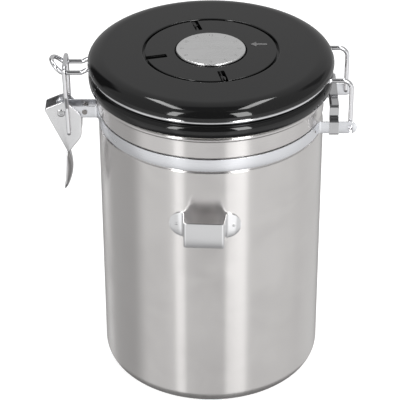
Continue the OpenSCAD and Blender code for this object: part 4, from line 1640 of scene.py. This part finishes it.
@dataclass
class Studio:
    """Floor, soft light and the camera of the photograph, in metres."""

    eye: Triple = (0.0, -0.89357, 0.659)
    yaw: float = -0.007
    pitch: float = 0.5597
    roll: float = -0.0045
    focal_px: float = 1852.23
    frame_px: float = 400.0
    sensor_mm: float = 36.0
    light_aim: Triple = (0.0, 0.0, 0.18)
    light_distance: float = 1.1
    overhead_size: Point = (0.11, 0.76)
    overhead_y: float = 0.17
    overhead_z: float = 1.19
    air: float = 0.55
    ground: float = 0.95
    fill: float = 0.55
    floor_glow: float = 0.62

    def camera(self) -> None:
        """Place the camera as fitted to the photograph."""
        cp, sp, cy, sy = math.cos(self.pitch), math.sin(self.pitch), math.cos(self.yaw), math.sin(self.yaw)
        ahead, right = Vector((sy * cp, cy * cp, -sp)), Vector((cy, -sy, 0))
        up = right.cross(ahead)
        cr, sr = math.cos(self.roll), math.sin(self.roll)
        axes = Matrix((right * cr + up * sr, up * cr - right * sr, -ahead)).transposed().to_4x4()
        data = bpy.data.cameras.new("photo_camera")
        data.sensor_fit = "HORIZONTAL"
        data.sensor_width = self.sensor_mm
        data.lens = self.focal_px / self.frame_px * self.sensor_mm
        made = as_object(data, "photo_camera")
        made.matrix_world = Matrix.Translation(self.eye) @ axes
        bpy.context.scene.camera = made

    def floor(self) -> None:
        """Lay a white floor that keeps the shadow and shows white to the camera."""
        bpy.ops.mesh.primitive_plane_add(size=6.0, location=(0, 0, -0.0004))
        ground = bpy.context.object
        ground.name = "studio_floor"
        made = bpy.data.materials.new("studio_floor_white")
        made.use_nodes = True
        board = NodeBoard(made.node_tree)
        made.node_tree.nodes.clear()
        matt = board.add("ShaderNodeBsdfDiffuse", {"Color": (0.85, 0.85, 0.85, 1)}).outputs[0]
        glow = board.add("ShaderNodeEmission", {"Strength": self.floor_glow}).outputs[0]
        both = board.add("ShaderNodeAddShader", {0: matt, 1: glow}).outputs[0]
        path = board.add("ShaderNodeLightPath").outputs
        pick = board.add("ShaderNodeMixShader", {0: path["Is Camera Ray"], 1: matt, 2: both})
        board.add("ShaderNodeOutputMaterial", {"Surface": pick.outputs[0]})
        ground.data.materials.append(made)
        ground.visible_glossy = False

    @staticmethod
    def slope(board: NodeBoard, value: Socket, middle: float, soft: float) -> Socket:
        """Rise from 0 to 1 round an angle, over a soft span in degrees."""
        low, high = math.radians(middle - soft / 2), math.radians(middle + soft / 2)
        return board.span(value, low, high, interpolation_type="SMOOTHSTEP")

    @staticmethod
    def blend(board: NodeBoard, factor: Socket, a: Socket | float, b: float) -> Socket:
        """Blend a level towards a number by a mask."""
        made = board.add("ShaderNodeMix", {"Factor": factor, "A": a, "B": b}, data_type="FLOAT")
        return made.outputs["Result"]

    def mask(self, board: NodeBoard, panel: Panel, azimuth: Socket, rise: Socket) -> Socket:
        """Say where a panel is seen.

        Args:
            board: The world's board.
            panel: The panel.
            azimuth: Where the ray points, from the camera's side.
            rise: How far it points above the horizon.

        Returns:
            A level from 0 to 1.
        """
        away = board.math("SUBTRACT", azimuth, math.radians(panel.azimuth))
        turn = board.math("WRAP", away, math.pi, -math.pi)
        beside = self.slope(board, board.math("ABSOLUTE", turn), panel.half_width, panel.soft)
        above, over = (self.slope(board, rise, edge, panel.soft) for edge in (panel.low, panel.high))
        height = board.math("MULTIPLY", above, board.math("SUBTRACT", 1.0, over))
        return board.math("MULTIPLY", board.math("SUBTRACT", 1.0, beside), height)

    def world(self) -> None:
        """White surroundings, with a plain studio for what shines."""
        made = bpy.data.worlds.new("studio_world")
        bpy.context.scene.world = made
        made.use_nodes = True
        board = NodeBoard(made.node_tree)
        made.node_tree.nodes.clear()
        path = board.add("ShaderNodeLightPath").outputs
        where = board.add("ShaderNodeTexCoord")
        x, y, z = board.add("ShaderNodeSeparateXYZ", {0: where.outputs["Generated"]}).outputs
        azimuth = board.math("ARCTAN2", x, board.math("MULTIPLY", y, -1.0))
        rise = board.math("ARCSINE", z)
        level = self.blend(board, self.slope(board, rise, 0.0, 5.0), self.ground, self.air)
        for panel in PANELS:
            level = self.blend(board, self.mask(board, panel, azimuth, rise), level, panel.level)
        gloss = board.math("MULTIPLY", level, path["Is Glossy Ray"])
        dim = board.math("MULTIPLY", path["Is Diffuse Ray"], 1.0 - self.fill)
        plain = board.math("SUBTRACT", board.math("SUBTRACT", 1.0, path["Is Glossy Ray"]), dim)
        glow = board.add("ShaderNodeBackground", {"Strength": board.math("ADD", gloss, plain)})
        board.add("ShaderNodeOutputWorld", {"Surface": glow.outputs[0]})

    @staticmethod
    def lamp(name: str, size: Point, radiance: float, place: Vector) -> Obj:
        """Hang a rectangular soft light that faces down and that the camera doesn't see.

        Args:
            name: The light's name.
            size: Its width and height in metres.
            radiance: Brightness of its face.
            place: Where it hangs.

        Returns:
            The light.
        """
        data = bpy.data.lights.new(name, "AREA")
        data.shape = "RECTANGLE"
        data.size, data.size_y = size
        data.energy = radiance * math.pi * size[0] * size[1]
        made = as_object(data, name)
        made.location = place
        made.visible_camera = False
        return made

    def softbox(self, name: str, azimuth: float, rise: float, spread: Point, radiance: float) -> None:
        """Hang a light that faces the lid.

        Args:
            name: The light's name.
            azimuth: Degrees from the camera's side, to the right.
            rise: Degrees above the horizon.
            spread: Width and height in degrees, as seen from the lid.
            radiance: Brightness of its face.
        """
        width, height = (2 * self.light_distance * math.tan(math.radians(v / 2)) for v in spread)
        level, up = polar(1, rise)
        aim = Vector((*polar(level, azimuth - 90), up))
        place = Vector(self.light_aim) + aim * self.light_distance
        made = self.lamp(name, (width, height), radiance, place)
        made.rotation_euler = aim.to_track_quat("Z", "Y").to_euler()

    def overhead(self, name: str, x: float, radiance: float) -> None:
        """Hang a long light that runs from front to back above the lid."""
        self.lamp(name, self.overhead_size, radiance, Vector((x, self.overhead_y, self.overhead_z)))

    def build(self) -> None:
        """Set up the whole studio."""
        self.camera()
        self.floor()
        self.world()
        self.softbox("softbox_left", -33.0, 24.5, (8.6, 43.0), 7.5)
        self.softbox("softbox_right", 28.5, 25.0, (13.0, 44.0), 7.5)
        self.overhead("overhead_left", -0.325, 8.0)
        self.overhead("overhead_right", 0.315, 7.5)
        bpy.context.scene.view_settings.view_transform = "Standard"


def main() -> None:
    """Build the canister from its sub-assemblies, then the studio."""
    logging.basicConfig(level=logging.INFO, format="%(name)s: %(message)s")
    effects = EffectGroups()
    palette = {key: finish.build(effects) for key, finish in FINISHES.items()}
    trees = TreeMaker()
    for kind in (CanisterWall, Straps, HingeTie, Latch, ClampWire, Lid, DateDial, GasValve, ScoopHook):
        LOG.info("building %s", kind.__name__)
        kind(palette, trees).build()
    Studio().build()


if __name__ == "__main__":
    main()
